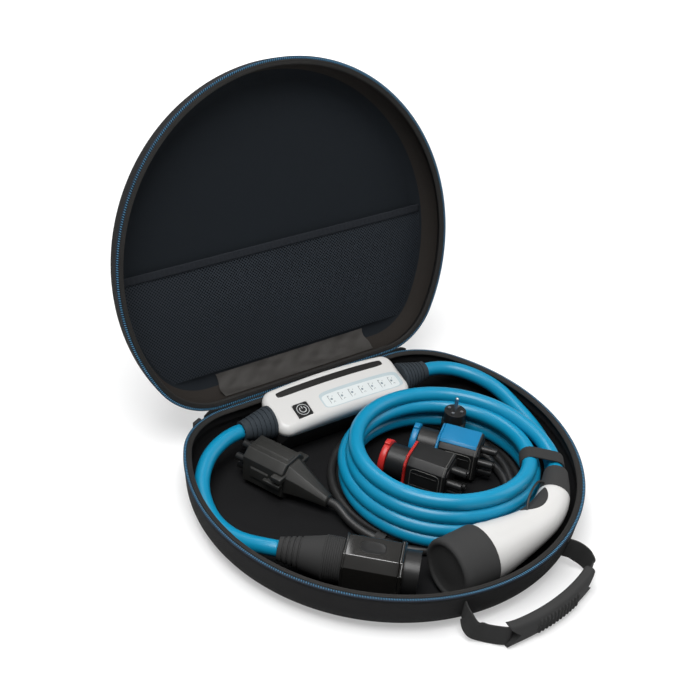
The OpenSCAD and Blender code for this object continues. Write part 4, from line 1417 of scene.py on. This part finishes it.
@dataclass(frozen=True)
class ControlBox:
    """The white control box: a moulded cover with label, a black strip that paints the shade of its recessed
    slot, lamps and printed signs.
    """

    place: Place = (11.0, 102.0, 4.0)
    turn: float = -1.0
    half_l: float = 82.3
    half_w: float = 26.3
    corner_r: float = 12.4
    rim_r: float = 6.5
    seam_z: float = 31.0
    face_back: float = 26.0
    face_front: float = 42.0
    slope: float = 16.0
    arch: float = 700.0
    crown: float = 3.0
    well_half: float = 9.0
    well_floor: float = 4.6
    button: Pair = (-50.0, 16.0)
    button_top: float = 1.62
    lamp_count: int = 7
    lamp_mid: float = 24.0
    lamp_pitch: float = 13.0
    lamp_y: float = 16.0
    lamp_r: float = 1.3
    plate_sides: int = 96

    def lamp_places(self) -> Array:
        """The x of each lamp on the face."""
        return self.lamp_mid + (np.arange(self.lamp_count) - (self.lamp_count - 1) // 2) * self.lamp_pitch

    def on_face(self, shapes: Iterable[Shape]) -> Shape:
        """Shapes drawn on the sloping face, moved to the shared frame.

        Args:
            shapes: Shapes in the face's frame.

        Returns:
            One shape in the shared frame.
        """
        turn = turn_z(self.turn)
        shift = turn @ np.array([0, -self.face_back, self.face_front]) + self.place
        return Shape.joined(shapes).moved(turn @ turn_x(self.slope), shift)

    def height(self, x: Array) -> Array:
        """Height of the arched face above its frame: sqrt(R^2 - x^2) - R + crown."""
        return np.sqrt(self.arch**2 - x**2) - self.arch + self.crown

    def cover(self) -> Shape:
        """Upper cover as a height field over a rounded rectangle, with a well for the button.

        z = front + (y + back) tan t + h(x) / cos t - rim + sqrt(rim^2 - (rim - d)^2), d the distance to
        the edge. A square corner patch (p, q) goes to the quarter disc by (p, q) max(p, q) / hypot(p, q).
        The well goes straight down from the sloping face.

        Returns:
            The cover, closed underneath at the seam.
        """
        corner, rim = self.corner_r, self.rim_r
        tilt = math.radians(self.slope)
        cos_t, sin_t = math.cos(tilt), math.sin(tilt)
        step, within = 0.02, 0.01
        mid = (self.button[0], -self.face_back + self.button[1] * cos_t - self.height(self.button[0]) * sin_t)
        well = (self.well_half, self.well_half * cos_t)
        lines = [half * np.sin(np.linspace(-math.pi / 2, math.pi / 2, n))
                 for half, n in ((self.half_l, 180), (self.half_w, 70))]
        x, y = (np.unique(np.concatenate([line, [m - w, m - w + step, m + w - step, m + w]]))
                for line, m, w in zip(lines, mid, well))
        x, y = np.meshgrid(x, y, indexing="ij")
        p, q = np.abs(x) - self.half_l + corner, np.abs(y) - self.half_w + corner
        in_corner = (p > 0) & (q > 0)
        furthest = np.maximum(p, q)
        pull = np.where(in_corner, furthest / np.maximum(np.hypot(p, q), 1e-9), 1)
        px = np.where(in_corner, np.sign(x) * (self.half_l - corner + p * pull), x)
        py = np.where(in_corner, np.sign(y) * (self.half_w - corner + q * pull), y)
        d = np.clip(corner - np.maximum(furthest, 0), 0, rim)
        z = (self.face_front + (py + self.face_back) * math.tan(tilt) + self.height(px) / cos_t - rim
             + np.sqrt(rim**2 - (rim - d) ** 2))
        inside = (np.abs(x - mid[0]) < well[0] - within) & (np.abs(y - mid[1]) < well[1] - within)
        up = (py + self.face_back + self.height(px) * sin_t) / cos_t
        low_y = -self.face_back + up * cos_t + self.well_floor * sin_t
        low_z = self.face_front + up * sin_t - self.well_floor * cos_t
        points = np.stack([px, np.where(inside, low_y, py), np.where(inside, low_z, z)], axis=-1)
        index = np.arange(x.size).reshape(x.shape)
        ring = np.concatenate([index[0, :-1], index[:-1, -1], index[-1, :0:-1], index[:0:-1, 0]])
        shape = Shape.grid(points, points[..., :2]).skirt(ring, self.seam_z)
        return shape.moved(turn_z(self.turn), self.place)

    def plate(self, centre: Pair, half: Pair, power: float, lift: float) -> Shape:
        """Thin plate on the arched face with a soft edge, shrunk ring by ring to its middle.

        Args:
            centre: Its middle on the face.
            half: Half of its width and of its height.
            power: Power of its outline.
            lift: Height of its upper side above the face.

        Returns:
            The plate, in the face's frame.
        """
        edge = even_ring(superellipse(*half, power, 800), self.plate_sides)
        grow = np.array([1, 1, 1 - 0.12 / half[1], 1 - 0.3 / half[1], 0.8, 0.6, 0.4, 0.2, 0.02])
        lifts = lift + np.array([-0.6 - lift, -0.1, -0.03, 0, 0, 0, 0, 0, 0])
        plan = edge[None] * grow[:, None, None] + centre
        return Shape.layers(plan, self.height(plan[..., :1]) + lifts[:, None, None])

    def stroke(self, points: Sequence[Pair], width: float = 0.5, lift: float = 0.24) -> Shape:
        """Printed stroke through points of the face.

        Args:
            points: Places on the face.
            width: Width of the stroke.
            lift: Height above the face.

        Returns:
            The stroke, in the face's frame.
        """
        flat = even(catmull_rom(points, 6), 0.25)
        path = np.column_stack([flat, self.height(flat[:, 0]) + lift])
        return sweep(path, superellipse(width / 2, 0.06, 4, 8))

    def mark(self, k: int, x: float) -> list[Shape]:
        """Strokes of the small printed sign beside lamp k at x.

        Args:
            k: Number of the lamp.
            x: Its place along the face.

        Returns:
            The strokes.
        """
        y = self.lamp_y
        return [self.stroke([(x - 2.7, y - 5.2), (x - 2.7, y + 5.0)]),
                self.stroke([(x - 2.7, y + 5.0), (x - 0.9, y + 4.3)]),
                self.stroke([(x + 0.4, y - 4.8), (x + 1.6, y - 3.2), (x + 2.8, y - 4.6 + 0.5 * (k % 3))],
                            0.4),
                self.stroke([(x + 1.9, y + 2.4), (x + 2.8, y + 3.8)], 0.4)]

    def power_sign(self) -> list[Shape]:
        """Printed ring, open arc and bar on the button.

        Returns:
            The three lines, in the face's frame.
        """
        ring = 6.6 * ways(full_turn(48))
        arc = 3.5 * ways(np.radians(np.linspace(125, 415, 40)))
        upright = np.linspace([0, 1.3], [0, 4.6], 9)
        return [sweep(np.column_stack([line + self.button, np.full(len(line), self.button_top)]),
                      superellipse(half_w, 0.08, 4, 8), closed)
                for line, half_w, closed in ((ring, 0.3, True), (arc, 0.4, False), (upright, 0.4, False))]

    def build(self) -> None:
        """Makes the cover and what is on it."""
        self.cover().piece("box_cover", WHITE, Body.CASE, "white_plastic", ["box_upper_cover"])
        label = self.plate((23, 15.4), (48, 8.6), 7, 0.2)
        border = self.plate((24.5, 17), (51, 11), 7, 0.12)
        # Black strip on the face: painted shade of the recessed slot along its back edge.
        slot_shade = self.plate((0, 42.5), (67, 4), 7, 0.1)
        spots = self.lamp_places()
        lamps = [self.plate((x, self.lamp_y), (self.lamp_r, self.lamp_r), 2, 0.45) for x in spots]
        marks = [part for k, x in enumerate(spots) for part in self.mark(k, x)]
        for name, parts, finish, body, slot, nodes in (
                ("box_label", [label], PANEL, Body.CASE, "panel_grey", ["box_panel"]),
                ("label_border", [border], PANEL_EDGE, Body.CASE, "panel_grey", []),
                ("box_slot_painted_shade", [slot_shade], SLOT_SHADE_BLACK, Body.CASE, "black_plastic", ["box_inlay"]),
                ("lamp_lenses", lamps, LAMP, Body.CASE, "lamp_grey", ["box_lamps"]),
                ("panel_marks", marks, PRINT, Body.CASE, "panel_grey", []),
                ("button_rings", self.power_sign(), RING_PRINT, Body.BUTTON, "panel_grey", [])):
            self.on_face(parts).piece(name, finish, body, slot, nodes)


@dataclass(frozen=True)
class Laid:
    """Something that is drawn along +X, and then turned and put down in the case."""

    place: Place
    turn: float

    def put(self, shape: Shape, name: str, finish: Finish, slot: str, nodes: Sequence[str] = ()) -> None:
        """Turns a shape, puts it in its place and makes the piece."""
        shape.moved(turn_z(self.turn), self.place).piece(name, finish, Body.CASE, slot, nodes)


@dataclass(frozen=True)
class Adapter(Laid):
    """A plug adapter: collar, sleeve barrel, gasket, housing and pins."""

    name: str
    accent: Finish
    slot: str
    capped: bool = False
    housing: Place = (39.0, 44.0, 7.0)
    housing_x: float = 31.0
    housing_l: float = 41.0
    front_x: float = 69.4
    side_y: float = 19.5
    bead_r: float = 0.42
    ring_count: int = 40
    ring_step: float = 0.5
    pin_count: int = 5
    pin_circle: float = 12.0

    def highlight_ridges(self) -> Shape:
        """Moulded beads in a lighter grey, which paints highlights along the housing's edges: one round the
        housing's front, and one round each side face.

        Each is a closed line in a plane, (a, b), carried to (front, a, b) or to (a, +-side, b).

        Returns:
            The three beads along +X.
        """
        front = octagon(*self.housing)
        face = rounded_polygon([[36, -13], [66.5, -13], [66.5, 13], [36, 13]], 5)
        spots = [(front, [[0, 0, 1], [1, 0, 0], [0, 1, 0]], (self.front_x, 0, 0))]
        spots += [(face, [[1, 0, 0], [0, 0, k], [0, 1, 0]], (0, k * self.side_y, 0)) for k in (-1, 1)]
        bead = superellipse(self.bead_r, self.bead_r, 2, 8)
        return Shape.joined([sweep(np.pad(line, ((0, 0), (0, 1))), bead, True).moved(turn, shift)
                             for line, turn, shift in spots])

    def body(self) -> Shape:
        """Ringed barrel, housing, front plate and two ribs on each side.

        Returns:
            The body along +X.
        """
        rings = [[7.6 + self.ring_step * k, 17 - 0.25 * (k % 2)] for k in range(self.ring_count)]
        barrel = [[0.4, 13], [7, 14], [7.2, 16.4], *rings, [27.8, 16.4], [28, 12], [31.4, 12]]
        ribs = [block((36, s * 19.3 - 0.5, z), (64, s * 19.3 + 0.5, z + 1.4), 0.3)
                for s in (-1, 1) for z in (-8, 6.6)]
        housing = bar(octagon(*self.housing), self.housing_x, self.housing_l, 1.2)
        return Shape.joined([turned(barrel), housing, bar(octagon(31, 36, 5), 71.6, 1.6, 0.5), *ribs])

    def collar(self) -> Shape:
        """Collar with rounded edges, and the lug on it.

        Returns:
            The collar along +X.
        """
        profile = [[-0.02, 14.2], [0, 17.6], [0.6, 18.6], [1.4, 19], [5.6, 19], [6.4, 18.6], [6.8, 17.6],
                   [6.82, 14.2]]
        return Shape.joined([turned(profile), block((0.4, -4, 17), (6.4, 4, 21), 1.0)])

    def pin_tips(self) -> Shape:
        """Bare tips of the pins, on a circle.

        Returns:
            The tips along +X.
        """
        tip = turned([[87, 0.2], [87, 1.7], [84, 1.9], [80, 1.9]], 16)
        turns = -360.0 / self.pin_count * np.arange(self.pin_count)
        return Shape.joined([tip.moved(np.eye(3), (0, self.pin_circle * s, self.pin_circle * c))
                             for c, s in ways(np.radians(turns))])

    def top_cover(self) -> Shape:
        """Coloured cover over the housing's upper face.

        Returns:
            The cover along +X.
        """
        outline = [[15.2, 19.8], [15.2, 20.6], [13.0, 23.0], [-13.0, 23.0], [-15.2, 20.6], [-15.2, 19.8],
                   [-12.4, 21.4], [12.4, 21.4]]
        top = rounded_polygon(outline, 0.3, 3)
        return lofted([31, 31.4, 69, 69.4], np.stack([top * k for k in (0.992, 1, 1, 0.992)]))

    def build(self) -> None:
        """Makes the adapter's body, its accents and the contacts in its pins."""
        name, gasket = self.name, bar(octagon(42, 44.6, 8), 28.1, 2.8, 0.6)
        self.put(self.body(), f"{name}_housing", BLACK, "black_plastic", [f"{name}_body"])
        self.put(gasket, f"{name}_gasket_plate", self.accent, self.slot, [f"{name}_gasket"])
        self.put(self.collar(), f"{name}_collar_ring", self.accent, self.slot, [f"{name}_collar"])
        # Beads in lighter grey: painted highlights along the housing's edges.
        self.put(self.highlight_ridges(), f"{name}_ridges", HIGHLIGHT_RIDGE, "black_plastic")
        self.put(self.pin_tips(), f"{name}_pin_tips", METAL, "metal")
        if self.capped:
            self.put(self.top_cover(), f"{name}_top_cover", self.accent, self.slot)


@dataclass(frozen=True)
class SquarePlug(Laid):
    """The square black plug with its wings, stepped top and the cone to its cord."""

    place: Place = (-106.0, 77.0, 26.0)
    turn: float = -68.0
    body_l: float = 48.0
    cone_l: float = 44.0
    cone_w: float = 34.0
    cone_h: float = 38.0
    cone_end_r: float = 7.0
    cone_drop: float = 8.0

    def body(self) -> Shape:
        """Housing, wings and the two steps.

        Returns:
            The body along +X.
        """
        wings = [block((28, -24, -2), (48, 24, 2), 0.9), block((38, -25, 6), (50, 25, 12), 1.2)]
        steps = [bar(octagon(22, 46.4, 6), 4, 42, 1.4), bar(octagon(41, 20, 5), 10, 22, 1.2)]
        return Shape.joined([bar(octagon(38, 44, 8, 1.6), 0, self.body_l, 1.6), *wings, *steps])

    def cone(self) -> Shape:
        """Cone down to the cord: sections (1 - w) octagon + w circle, with w = 1.02 t^0.8 up to 1.

        Returns:
            The cone along +X.
        """
        start = octagon(self.cone_w, self.cone_h, 9, 2.0)
        end = self.cone_end_r * ways(np.arctan2(start[:, 1] / self.cone_h, start[:, 0] / self.cone_w))
        t = np.linspace(0, 1, 30)[:, None, None]
        w = np.minimum(1, 1.02 * t**0.8)
        sections = start * (1 - w) + end * w
        sections[..., 1] -= self.cone_drop * t[..., 0] ** 1.2
        return lofted(self.body_l + self.cone_l * t[:, 0, 0], sections)

    def tip(self) -> Array:
        """Where the cord leaves the cone."""
        reach = (self.body_l + self.cone_l) * heading(self.turn)
        return np.array(self.place) - [0, 0, self.cone_drop] + reach

    def build(self) -> None:
        """Makes the body and the cone."""
        self.put(self.body(), "plug_housing", PLUG_BLACK, "black_plastic", ["plug_body"])
        self.put(self.cone(), "plug_taper", PLUG_BLACK, "black_plastic", ["plug_cone"])


@dataclass(frozen=True)
class Coupling(Laid):
    """The coupling for the adapters: smoked eight-sided housing with a thumb dish and a flange."""

    place: Place = (-154.0, -47.0, 27.0)
    turn: float = -44.5
    dish_x: float = 86.0
    dish_half: Pair = (12.0, 8.0)

    def shell(self) -> Shape:
        """Housing, flange and the band behind.

        Returns:
            The housing along +X.
        """
        bars = ((44, 60, 52, 1.4), (46, 110.5, 5.5, 1.2), (45, 60, 3, 0.8))
        return Shape.joined([bar(octagon(w, w, 9, 1.6), start, length, edge)
                             for w, start, length, edge in bars])

    def dish(self) -> Shape:
        """Thumb dish: a raised lip round a shallow hollow, ring by ring to its middle.

        Returns:
            The dish on the housing's upper face.
        """
        grow = np.array([1, 1, 0.95, 0.9, 0.6, 0.3, 0.02])
        lift = np.array([21.2, 22.1, 22.35, 22.2, 22.06, 22.03, 22.02])
        plan = superellipse(*self.dish_half, 2.6, 64)[None] * grow[:, None, None] + [self.dish_x, 0]
        return Shape.layers(plan, lift[:, None, None])

    def build(self) -> None:
        """Makes the housing and its dish."""
        self.put(self.shell(), "coupling_shell", SMOKED, "smoked_plastic", ["coupling_housing"])
        self.put(self.dish(), "coupling_thumb", BLACK, "black_plastic")


@dataclass(frozen=True)
class ChargingCable:
    """The blue cable: one length to the coupling, and one through the coil to the car connector."""

    radius: float = 7.8
    sides: int = 24
    centre: Pair = (48.0, -31.0)
    first_angle: float = -49.0
    box: Place = (11.0, 102.0, 40.0)
    box_turn: float = -1.0
    boot_reach: float = 116.0
    tip: Place = (130.0, -111.0, 45.0)
    boot_back: Place = (121.5, -120.0, 43.9)
    ease: int = 9
    band_turn: float = -37.0
    band_r: float = 9.2
    band_near: float = 2.2
    band_half: Pair = (1.0, 8.0)

    def input_path(self) -> Array:
        """From the control box's left boot down along the wall to the coupling.

        Returns:
            Points of the path.
        """
        coupling = Coupling()
        way, end_way = heading(self.box_turn), heading(coupling.turn)
        start, end = self.box - self.boot_reach * way, np.array(coupling.place)
        knots = [start, start - 4 * way, start - 8 * way, [-129.6, 100.6, 38.2], [-152.8, 88.4, 33.4],
                 [-173.4, 62.7, 25.1], [-181.8, 25.8, 18.5], [-177.3, -11, 21], end - 8 * end_way,
                 end - 4 * end_way, end]
        return eased(even(catmull_rom(knots, 12), 2.0), self.ease)

    def helix(self) -> Array:
        """Coil of the cable, clockwise and rising, from turn 0 to turn 3.88.

        P(t) = c + rho(t) (cos a, sin a) at height z(t), with a = first - 360 t degrees. The turns lean: a
        lower turn lies further out at the front. Each knot is (t, rho, z).

        Returns:
            Points of the coil.
        """
        knots = [[0, 104, 17.6], [0.114, 98.5, 19.5], [0.364, 97.5, 21], [0.614, 91, 21.4], [0.864, 94, 21.8],
                 [1.114, 94.5, 31], [1.364, 96, 32], [1.614, 97, 31], [1.864, 96, 33], [2.114, 90.5, 44],
                 [2.364, 91, 43.6], [2.614, 87, 40.5], [2.864, 89.5, 44], [3.114, 86, 57.4], [3.364, 87, 56],
                 [3.614, 90, 53], [3.75, 95.5, 51.6], [3.88, 103, 51]]
        turns, rho, z = catmull_rom(knots, 30).T
        way = ways(np.radians(self.first_angle - 360 * turns))
        return np.column_stack([self.centre + rho[:, None] * way, z])

    def output_path(self) -> Array:
        """From the right boot along the wall, round the coil and on to the connector's boot.

        Returns:
            Points of the path.
        """
        coil = self.helix()
        way = heading(self.box_turn)
        start = self.box + self.boot_reach * way
        free = catmull_rom([start, start + 4 * way, start + 8 * way, [151, 94, 39.4], [168.6, 77.5, 38.6],
                            [182.2, 40, 36.8], [180, -4, 33], [177, -28, 31], [171, -56, 26],
                            [158, -83, 20.5], [136, -101, 18.5], coil[0]], 12)
        tip = np.array(self.tip)
        boot_way = unit(tip - self.boot_back)
        tail = catmull_rom([coil[-1], [152, -60.6, 49.4], [145.1, -88.6, 46.7], tip + 6 * boot_way,
                            tip + 3 * boot_way, tip], 12)
        return eased(even(np.vstack([free[:-1], coil, tail[1:]]), 2.5), self.ease)

    def band(self, path: Array) -> Shape:
        """Band pulled round every run of the cable at one angle: the hull of circles round those runs.

        P(f) = c_i + r n(f), with n(f) = (cos f, sin f) and i the circle that reaches furthest along n(f).

        Args:
            path: The long cable's path.

        Returns:
            The band.
        """
        out = ways(np.radians(self.band_turn))
        along = out[::-1] * [-1, 1]
        rho, off = (path[:, :2] - self.centre) @ out, (path[:, :2] - self.centre) @ along
        spots = np.column_stack([rho, path[:, 2]])[(np.abs(off) < self.band_near) & (rho > 0)]
        n = ways(full_turn(240))
        hull = spots[np.argmax(n @ spots.T, axis=1)] + self.band_r * n
        loop = even(np.vstack([hull, hull[:1]]), 1.5)
        ring = eased(np.vstack([loop] * 3), 4)[len(loop) : 2 * len(loop) - 1]
        normal = unit(np.column_stack([np.gradient(ring[:, 1]), -np.gradient(ring[:, 0])]))
        section = superellipse(*self.band_half, 6, 24)
        flat = ring[:, None] + section[None, :, :1] * normal[:, None]
        plan = self.centre + flat[..., :1] * out + section[None, :, 1:] * along
        uv = places(round_trip(ring), round_trip(section))
        return Shape.grid(np.concatenate([plan, flat[..., 1:]], axis=2), uv, True, True)

    def build(self, connector: Sequence[bpy.types.Object]) -> None:
        """Makes both cables and the band.

        Args:
            connector: Pieces at the far end of the long cable; not used.
        """
        path = self.input_path()
        obj = tube(path, self.radius, self.sides).piece("input_cable_run", JACKET, Body.CASE, "cable_blue",
                                                        ["input_cable"])
        float(run(path)[-1]) * MM
        path = self.output_path()
        obj = tube(path, self.radius, self.sides).piece(
            "charging_cable_run", JACKET, Body.CASE, "cable_blue",
            ["output_cable", "coil_lower", "coil_upper", "connector_cable"])
        band = self.band(path).piece("coil_band", WEBBING, Body.CASE, "webbing", ["coil_strap"])
        float(run(path)[-1]) * MM


@dataclass(frozen=True)
class AdapterCord:
    """The thin black cord from the square plug, round its coil on the floor, to the round plug."""

    radius: float = 4.5
    sides: int = 16
    centre: Pair = (42.0, -20.0)
    coil_z: float = 8.7
    first_angle: float = -118.0
    last_angle: float = 690.0
    round_plug: Place = (100.0, 12.5, 10.2)
    round_turn: float = -61.0
    round_reach: float = 23.0

    def path(self) -> Array:
        """Lead, two turns side by side, and the end at the round plug: rho(a) steps from 97.6 to 88.5 mm.

        Returns:
            Points of the path.
        """
        plug = SquarePlug()
        tip, way = plug.tip(), heading(plug.turn)
        a = np.linspace(self.first_angle, self.last_angle, 300)
        rho = np.interp(a, [-124, -70, 240, 320, 620, 700], [105, 97.6, 97.6, 88.5, 88.5, 81])
        plan = self.centre + rho[:, None] * ways(np.radians(a))
        coil = np.column_stack([plan, np.full(len(a), self.coil_z)])
        lead = catmull_rom([tip, tip + 5 * way, tip + 10 * way, [-66, -38, 12.5], [-60, -60, 10.6],
                            [-48, -82, 10.2], [-33, -98, 9.2], coil[0]], 10)
        out = heading(self.round_turn)
        end = self.round_plug + self.round_reach * out
        tail = catmull_rom([coil[-1], [119, -28, 9.1], end + 8 * out, end + 4 * out, end], 10)
        return eased(even(np.vstack([lead[:-1], coil, tail[1:]]), 2.0), 5)

    def build(self) -> None:
        """Makes the cord."""
        path = self.path()
        obj = tube(path, self.radius, self.sides).piece(
            "adapter_cord_run", CORD_JACKET, Body.CASE, "cord_black",
            ["plug_cord", "cord_coil", "round_plug_cord"])
        float(run(path)[-1]) * MM


@dataclass(frozen=True)
class CarConnector:
    """The car connector: curved white handle, dark thumb inset, boot, dust cap and the cap's thin cord."""

    rings: tuple[tuple[float, ...], ...] = (
        (-4, -154, 36, 28), (4, -154, 36, 27.6), (18, -154, 36, 25.6), (56, -152, 37, 20), (84, -146, 39, 18),
        (107, -133, 42, 16), (130, -111, 45, 12))
    steps: int = 16
    sides: int = 56
    boot_ring: int = 5
    cap_place: Place = (-4.2, -154.0, 36.0)
    inset_start: float = 62.0
    inset_l: float = 50.0
    inset_half_w: float = 11.5
    inset_angle: float = 52.0
    inset_sides: int = 36
    cord_r: float = 1.2

    def loft(self, first: int, last: int) -> Shape:
        """Round section of a changing radius along the handle's curve, from one ring to another."""
        path = catmull_rom(self.rings, self.steps)[first * self.steps : last * self.steps + 1]
        return sweep(path, path[:, 3, None, None] * superellipse(1, 1, 2, self.sides)[None])

    def inset(self) -> Shape:
        """Teardrop patch on the handle: S(l, f0 + w(a) cos b / r) pushed out by a thin lens.

        Returns:
            The patch.
        """
        path = catmull_rom(self.rings, self.steps)
        a = np.linspace(0.004, 0.996, 60)
        at = self.inset_start + self.inset_l * a
        centre, side, top, r = (read_off(at, run(path), v)
                                for v in (path[:, :3], *frames(path)[1:], path[:, 3:]))
        width = self.inset_half_w * np.sin(math.pi * a**0.8) ** 0.75
        b = full_turn(self.inset_sides)
        f = math.radians(self.inset_angle) + width[:, None] * np.cos(b)[None] / r
        lens = np.where(np.sin(b) > 0, 0.35, 0.6) * np.sin(b)
        lift = (r + lens[None] * np.minimum(1, width / 4)[:, None])[..., None]
        c, s = np.cos(f)[..., None], np.sin(f)[..., None]
        points = centre[:, None] + lift * (c * side[:, None] + s * top[:, None])
        return Shape.rings(points, places(at, np.linspace(0, 30, self.inset_sides + 1)))

    def cap(self) -> Shape:
        """Dust cap: a stepped profile with a hollow end, turned and laid on the nose.

        Returns:
            The cap in its place.
        """
        profile = [[0, 26.2], [0, 29], [0.8, 30], [3, 30.2], [31, 29.4], [32.5, 29.8], [37, 29.8],
                   [38.8, 29.1], [39.8, 27.6], [40, 26], [39.6, 24.6], [38.4, 23.8], [37.6, 22], [37.6, 12],
                   [37.8, 3]]
        return turned(profile, 72).moved(turn_z(180), self.cap_place)

    def build(self) -> list[bpy.types.Object]:
        """Makes the pieces and gives those that hang on the long cable.

        Returns:
            The handle, inset, boot and cap.
        """
        shell, boot = self.loft(0, self.boot_ring), self.loft(self.boot_ring, len(self.rings) - 1)
        made = [shape.piece(name, finish, Body.CASE, slot, [node]) for name, shape, finish, slot, node in (
            ("connector_shell", shell, WHITE, "white_plastic", "connector_handle"),
            ("connector_thumb", self.inset(), RUBBER, "black_rubber", "connector_inset"),
            ("connector_sleeve", boot, RUBBER, "black_rubber", "connector_boot"),
            ("connector_dust_cap", self.cap(), RUBBER, "black_rubber", "connector_cap"))]
        knots = [[105, -122, 51], [97, -120, 56], [84, -126, 60], [72, -133, 60], [62, -141, 56],
                 [57, -148, 53]]
        path = eased(even(catmull_rom(knots, 10), 0.8), 4)
        cord = tube(path, self.cord_r, 12).piece("cap_cord", CORD_JACKET, Body.CASE, "cord_black",
                                                 ["cap_tether"])
        float(run(path)[-1]) * MM
        return made


def dress_nodes() -> None:
    """Gives the CAD nodes that stay in the picture their finish."""
    for name, finish in NODE_FINISH.items():
        mesh = frame["nodes"][name].data
        mesh.materials.clear()
        mesh.materials.append(finish.material())
        log.info("%s: %s", name, finish.name)


# The studio


@dataclass(frozen=True)
class Studio:
    """Camera at the photograph's angle, soft lamps and a pale floor."""

    azimuth: float = -38.03
    elevation: float = 34.091
    roll: float = 5.63
    sensor: float = 36.0
    focal_pixels: float = 1150.186
    picture_pixels: float = 700.0
    target: Place = (0.07175, 0.165005, 0.046)
    distance: float = 1.294744
    lamp_target: Place = (0.0, 0.05, 0.1)
    floor_half: float = 8.0
    floor_tone: Pair = (0.60, 0.62)
    glow_near: Pair = (0.6, 0.36)
    glow_far: Pair = (1.6, 0.9)
    sky: Colour = (0.26, 0.262, 0.266)

    def camera(self) -> None:
        """Sets the camera."""
        a, e, r = (math.radians(v) for v in (self.azimuth, self.elevation, self.roll))
        back = Vector((math.sin(a) * math.cos(e), -math.cos(a) * math.cos(e), math.sin(e)))
        right = Vector((0, 0, 1)).cross(back).normalized()
        up = back.cross(right)
        right, up = right * math.cos(r) + up * math.sin(r), up * math.cos(r) - right * math.sin(r)
        data = bpy.data.cameras.new("camera")
        data.lens = self.focal_pixels * self.sensor / self.picture_pixels
        data.sensor_width = self.sensor
        data.clip_start, data.clip_end = 0.05, 50
        obj = bpy.data.objects.new("camera", data)
        bpy.context.scene.collection.objects.link(obj)
        turn = Matrix((right, up, back)).transposed().to_4x4()
        obj.matrix_world = Matrix.Translation(Vector(self.target) + back * self.distance) @ turn
        bpy.context.scene.camera = obj

    def lamp(self, name: str, place: Place, size: float, watts: float) -> None:
        """Adds a soft square lamp that points at the case.

        Args:
            name: Name of the lamp.
            place: Its place in metres.
            size: Its side in metres.
            watts: Its power.
        """
        data = bpy.data.lights.new(name, "AREA")
        data.size, data.energy = size, watts
        obj = bpy.data.objects.new(name, data)
        obj.location = place
        obj.rotation_euler = (Vector(self.lamp_target) - Vector(place)).to_track_quat("-Z", "Y").to_euler()
        bpy.context.scene.collection.objects.link(obj)

    def floor(self) -> None:
        """Pale floor that keeps the shadow and fades to white far out."""
        h = self.floor_half
        mesh = bpy.data.meshes.new("floor")
        mesh.from_pydata([(-h, -h, 0), (h, -h, 0), (h, h, 0), (-h, h, 0)], [], [(0, 1, 2, 3)])
        made = bpy.data.materials.new("floor")
        made.use_nodes = True
        made.node_tree.nodes.clear()
        g = Graph(made.node_tree)
        place = g.node("ShaderNodeTexCoord").outputs["Object"]
        grain = g.group(grain_group(), Vector=place, Scale=400.0)
        away = g.node("ShaderNodeVectorMath", {0: place}, operation="LENGTH").outputs["Value"]
        (near, dim), (far, bright) = self.glow_near, self.glow_far
        glow = g.node("ShaderNodeMapRange", {"Value": away, "From Min": near, "From Max": far, "To Min": dim,
                                             "To Max": bright}, interpolation_type="SMOOTHSTEP").outputs[0]
        seen = g.node("ShaderNodeLightPath").outputs["Is Camera Ray"]
        skin = g.node("ShaderNodeBsdfPrincipled", {
            "Base Color": g.mix(grain.outputs["Broad"], *((tone, tone, tone, 1) for tone in self.floor_tone)),
            "Roughness": 0.9,
            "Specular IOR Level": 0.1,
            "Emission Color": (1, 1, 1, 1),
            "Emission Strength": g.math("MULTIPLY", seen, glow)})
        g.node("ShaderNodeOutputMaterial", {0: skin.outputs[0]})
        mesh.materials.append(made)
        obj = bpy.data.objects.new("floor", mesh)
        bpy.context.scene.collection.objects.link(obj)

    def world(self) -> None:
        """White surroundings to the eye, and an even soft light for the rest."""
        world = bpy.data.worlds.new("studio")
        world.use_nodes = True
        world.node_tree.nodes.clear()
        g = Graph(world.node_tree)
        seen = g.node("ShaderNodeLightPath").outputs["Is Camera Ray"]
        colour = g.mix(seen, (*self.sky, 1), (1, 1, 1, 1))
        sky = g.node("ShaderNodeBackground", {"Color": colour, "Strength": 1.0})
        g.node("ShaderNodeOutputWorld", {0: sky.outputs[0]})
        bpy.context.scene.world = world

    def build(self) -> None:
        """Makes the studio."""
        self.camera()
        self.floor()
        self.world()
        self.lamp("key", (-0.5, -0.3, 1.8), 1.1, 36)
        self.lamp("fill", (1.5, -0.8, 1.2), 1.2, 8)
        self.lamp("back", (0.2, 1.3, 1.7), 1.1, 16)
        bpy.context.scene.view_settings.view_transform = "Standard"


def main() -> None:
    """Builds the scene."""
    logging.basicConfig(level=logging.INFO)
    form = CaseForm()
    for part in (ZipCase(form), NetPocket(form), HingeCloth(form), Handle(), ControlBox()):
        part.build()
    ChargingCable().build(CarConnector().build())
    red = Adapter((10.5, 14.0, 26.0), -59.0, "red", RED, "red_plastic")
    blue = Adapter((52.4, 20.6, 26.0), -53.5, "blue", BLUE, "blue_plastic", capped=True)
    for part in (AdapterCord(), red, blue, SquarePlug(), Coupling()):
        part.build()
    dress_nodes()
    Studio().build()
    bpy.context.view_layer.update()


if __name__ == "__main__":
    main()
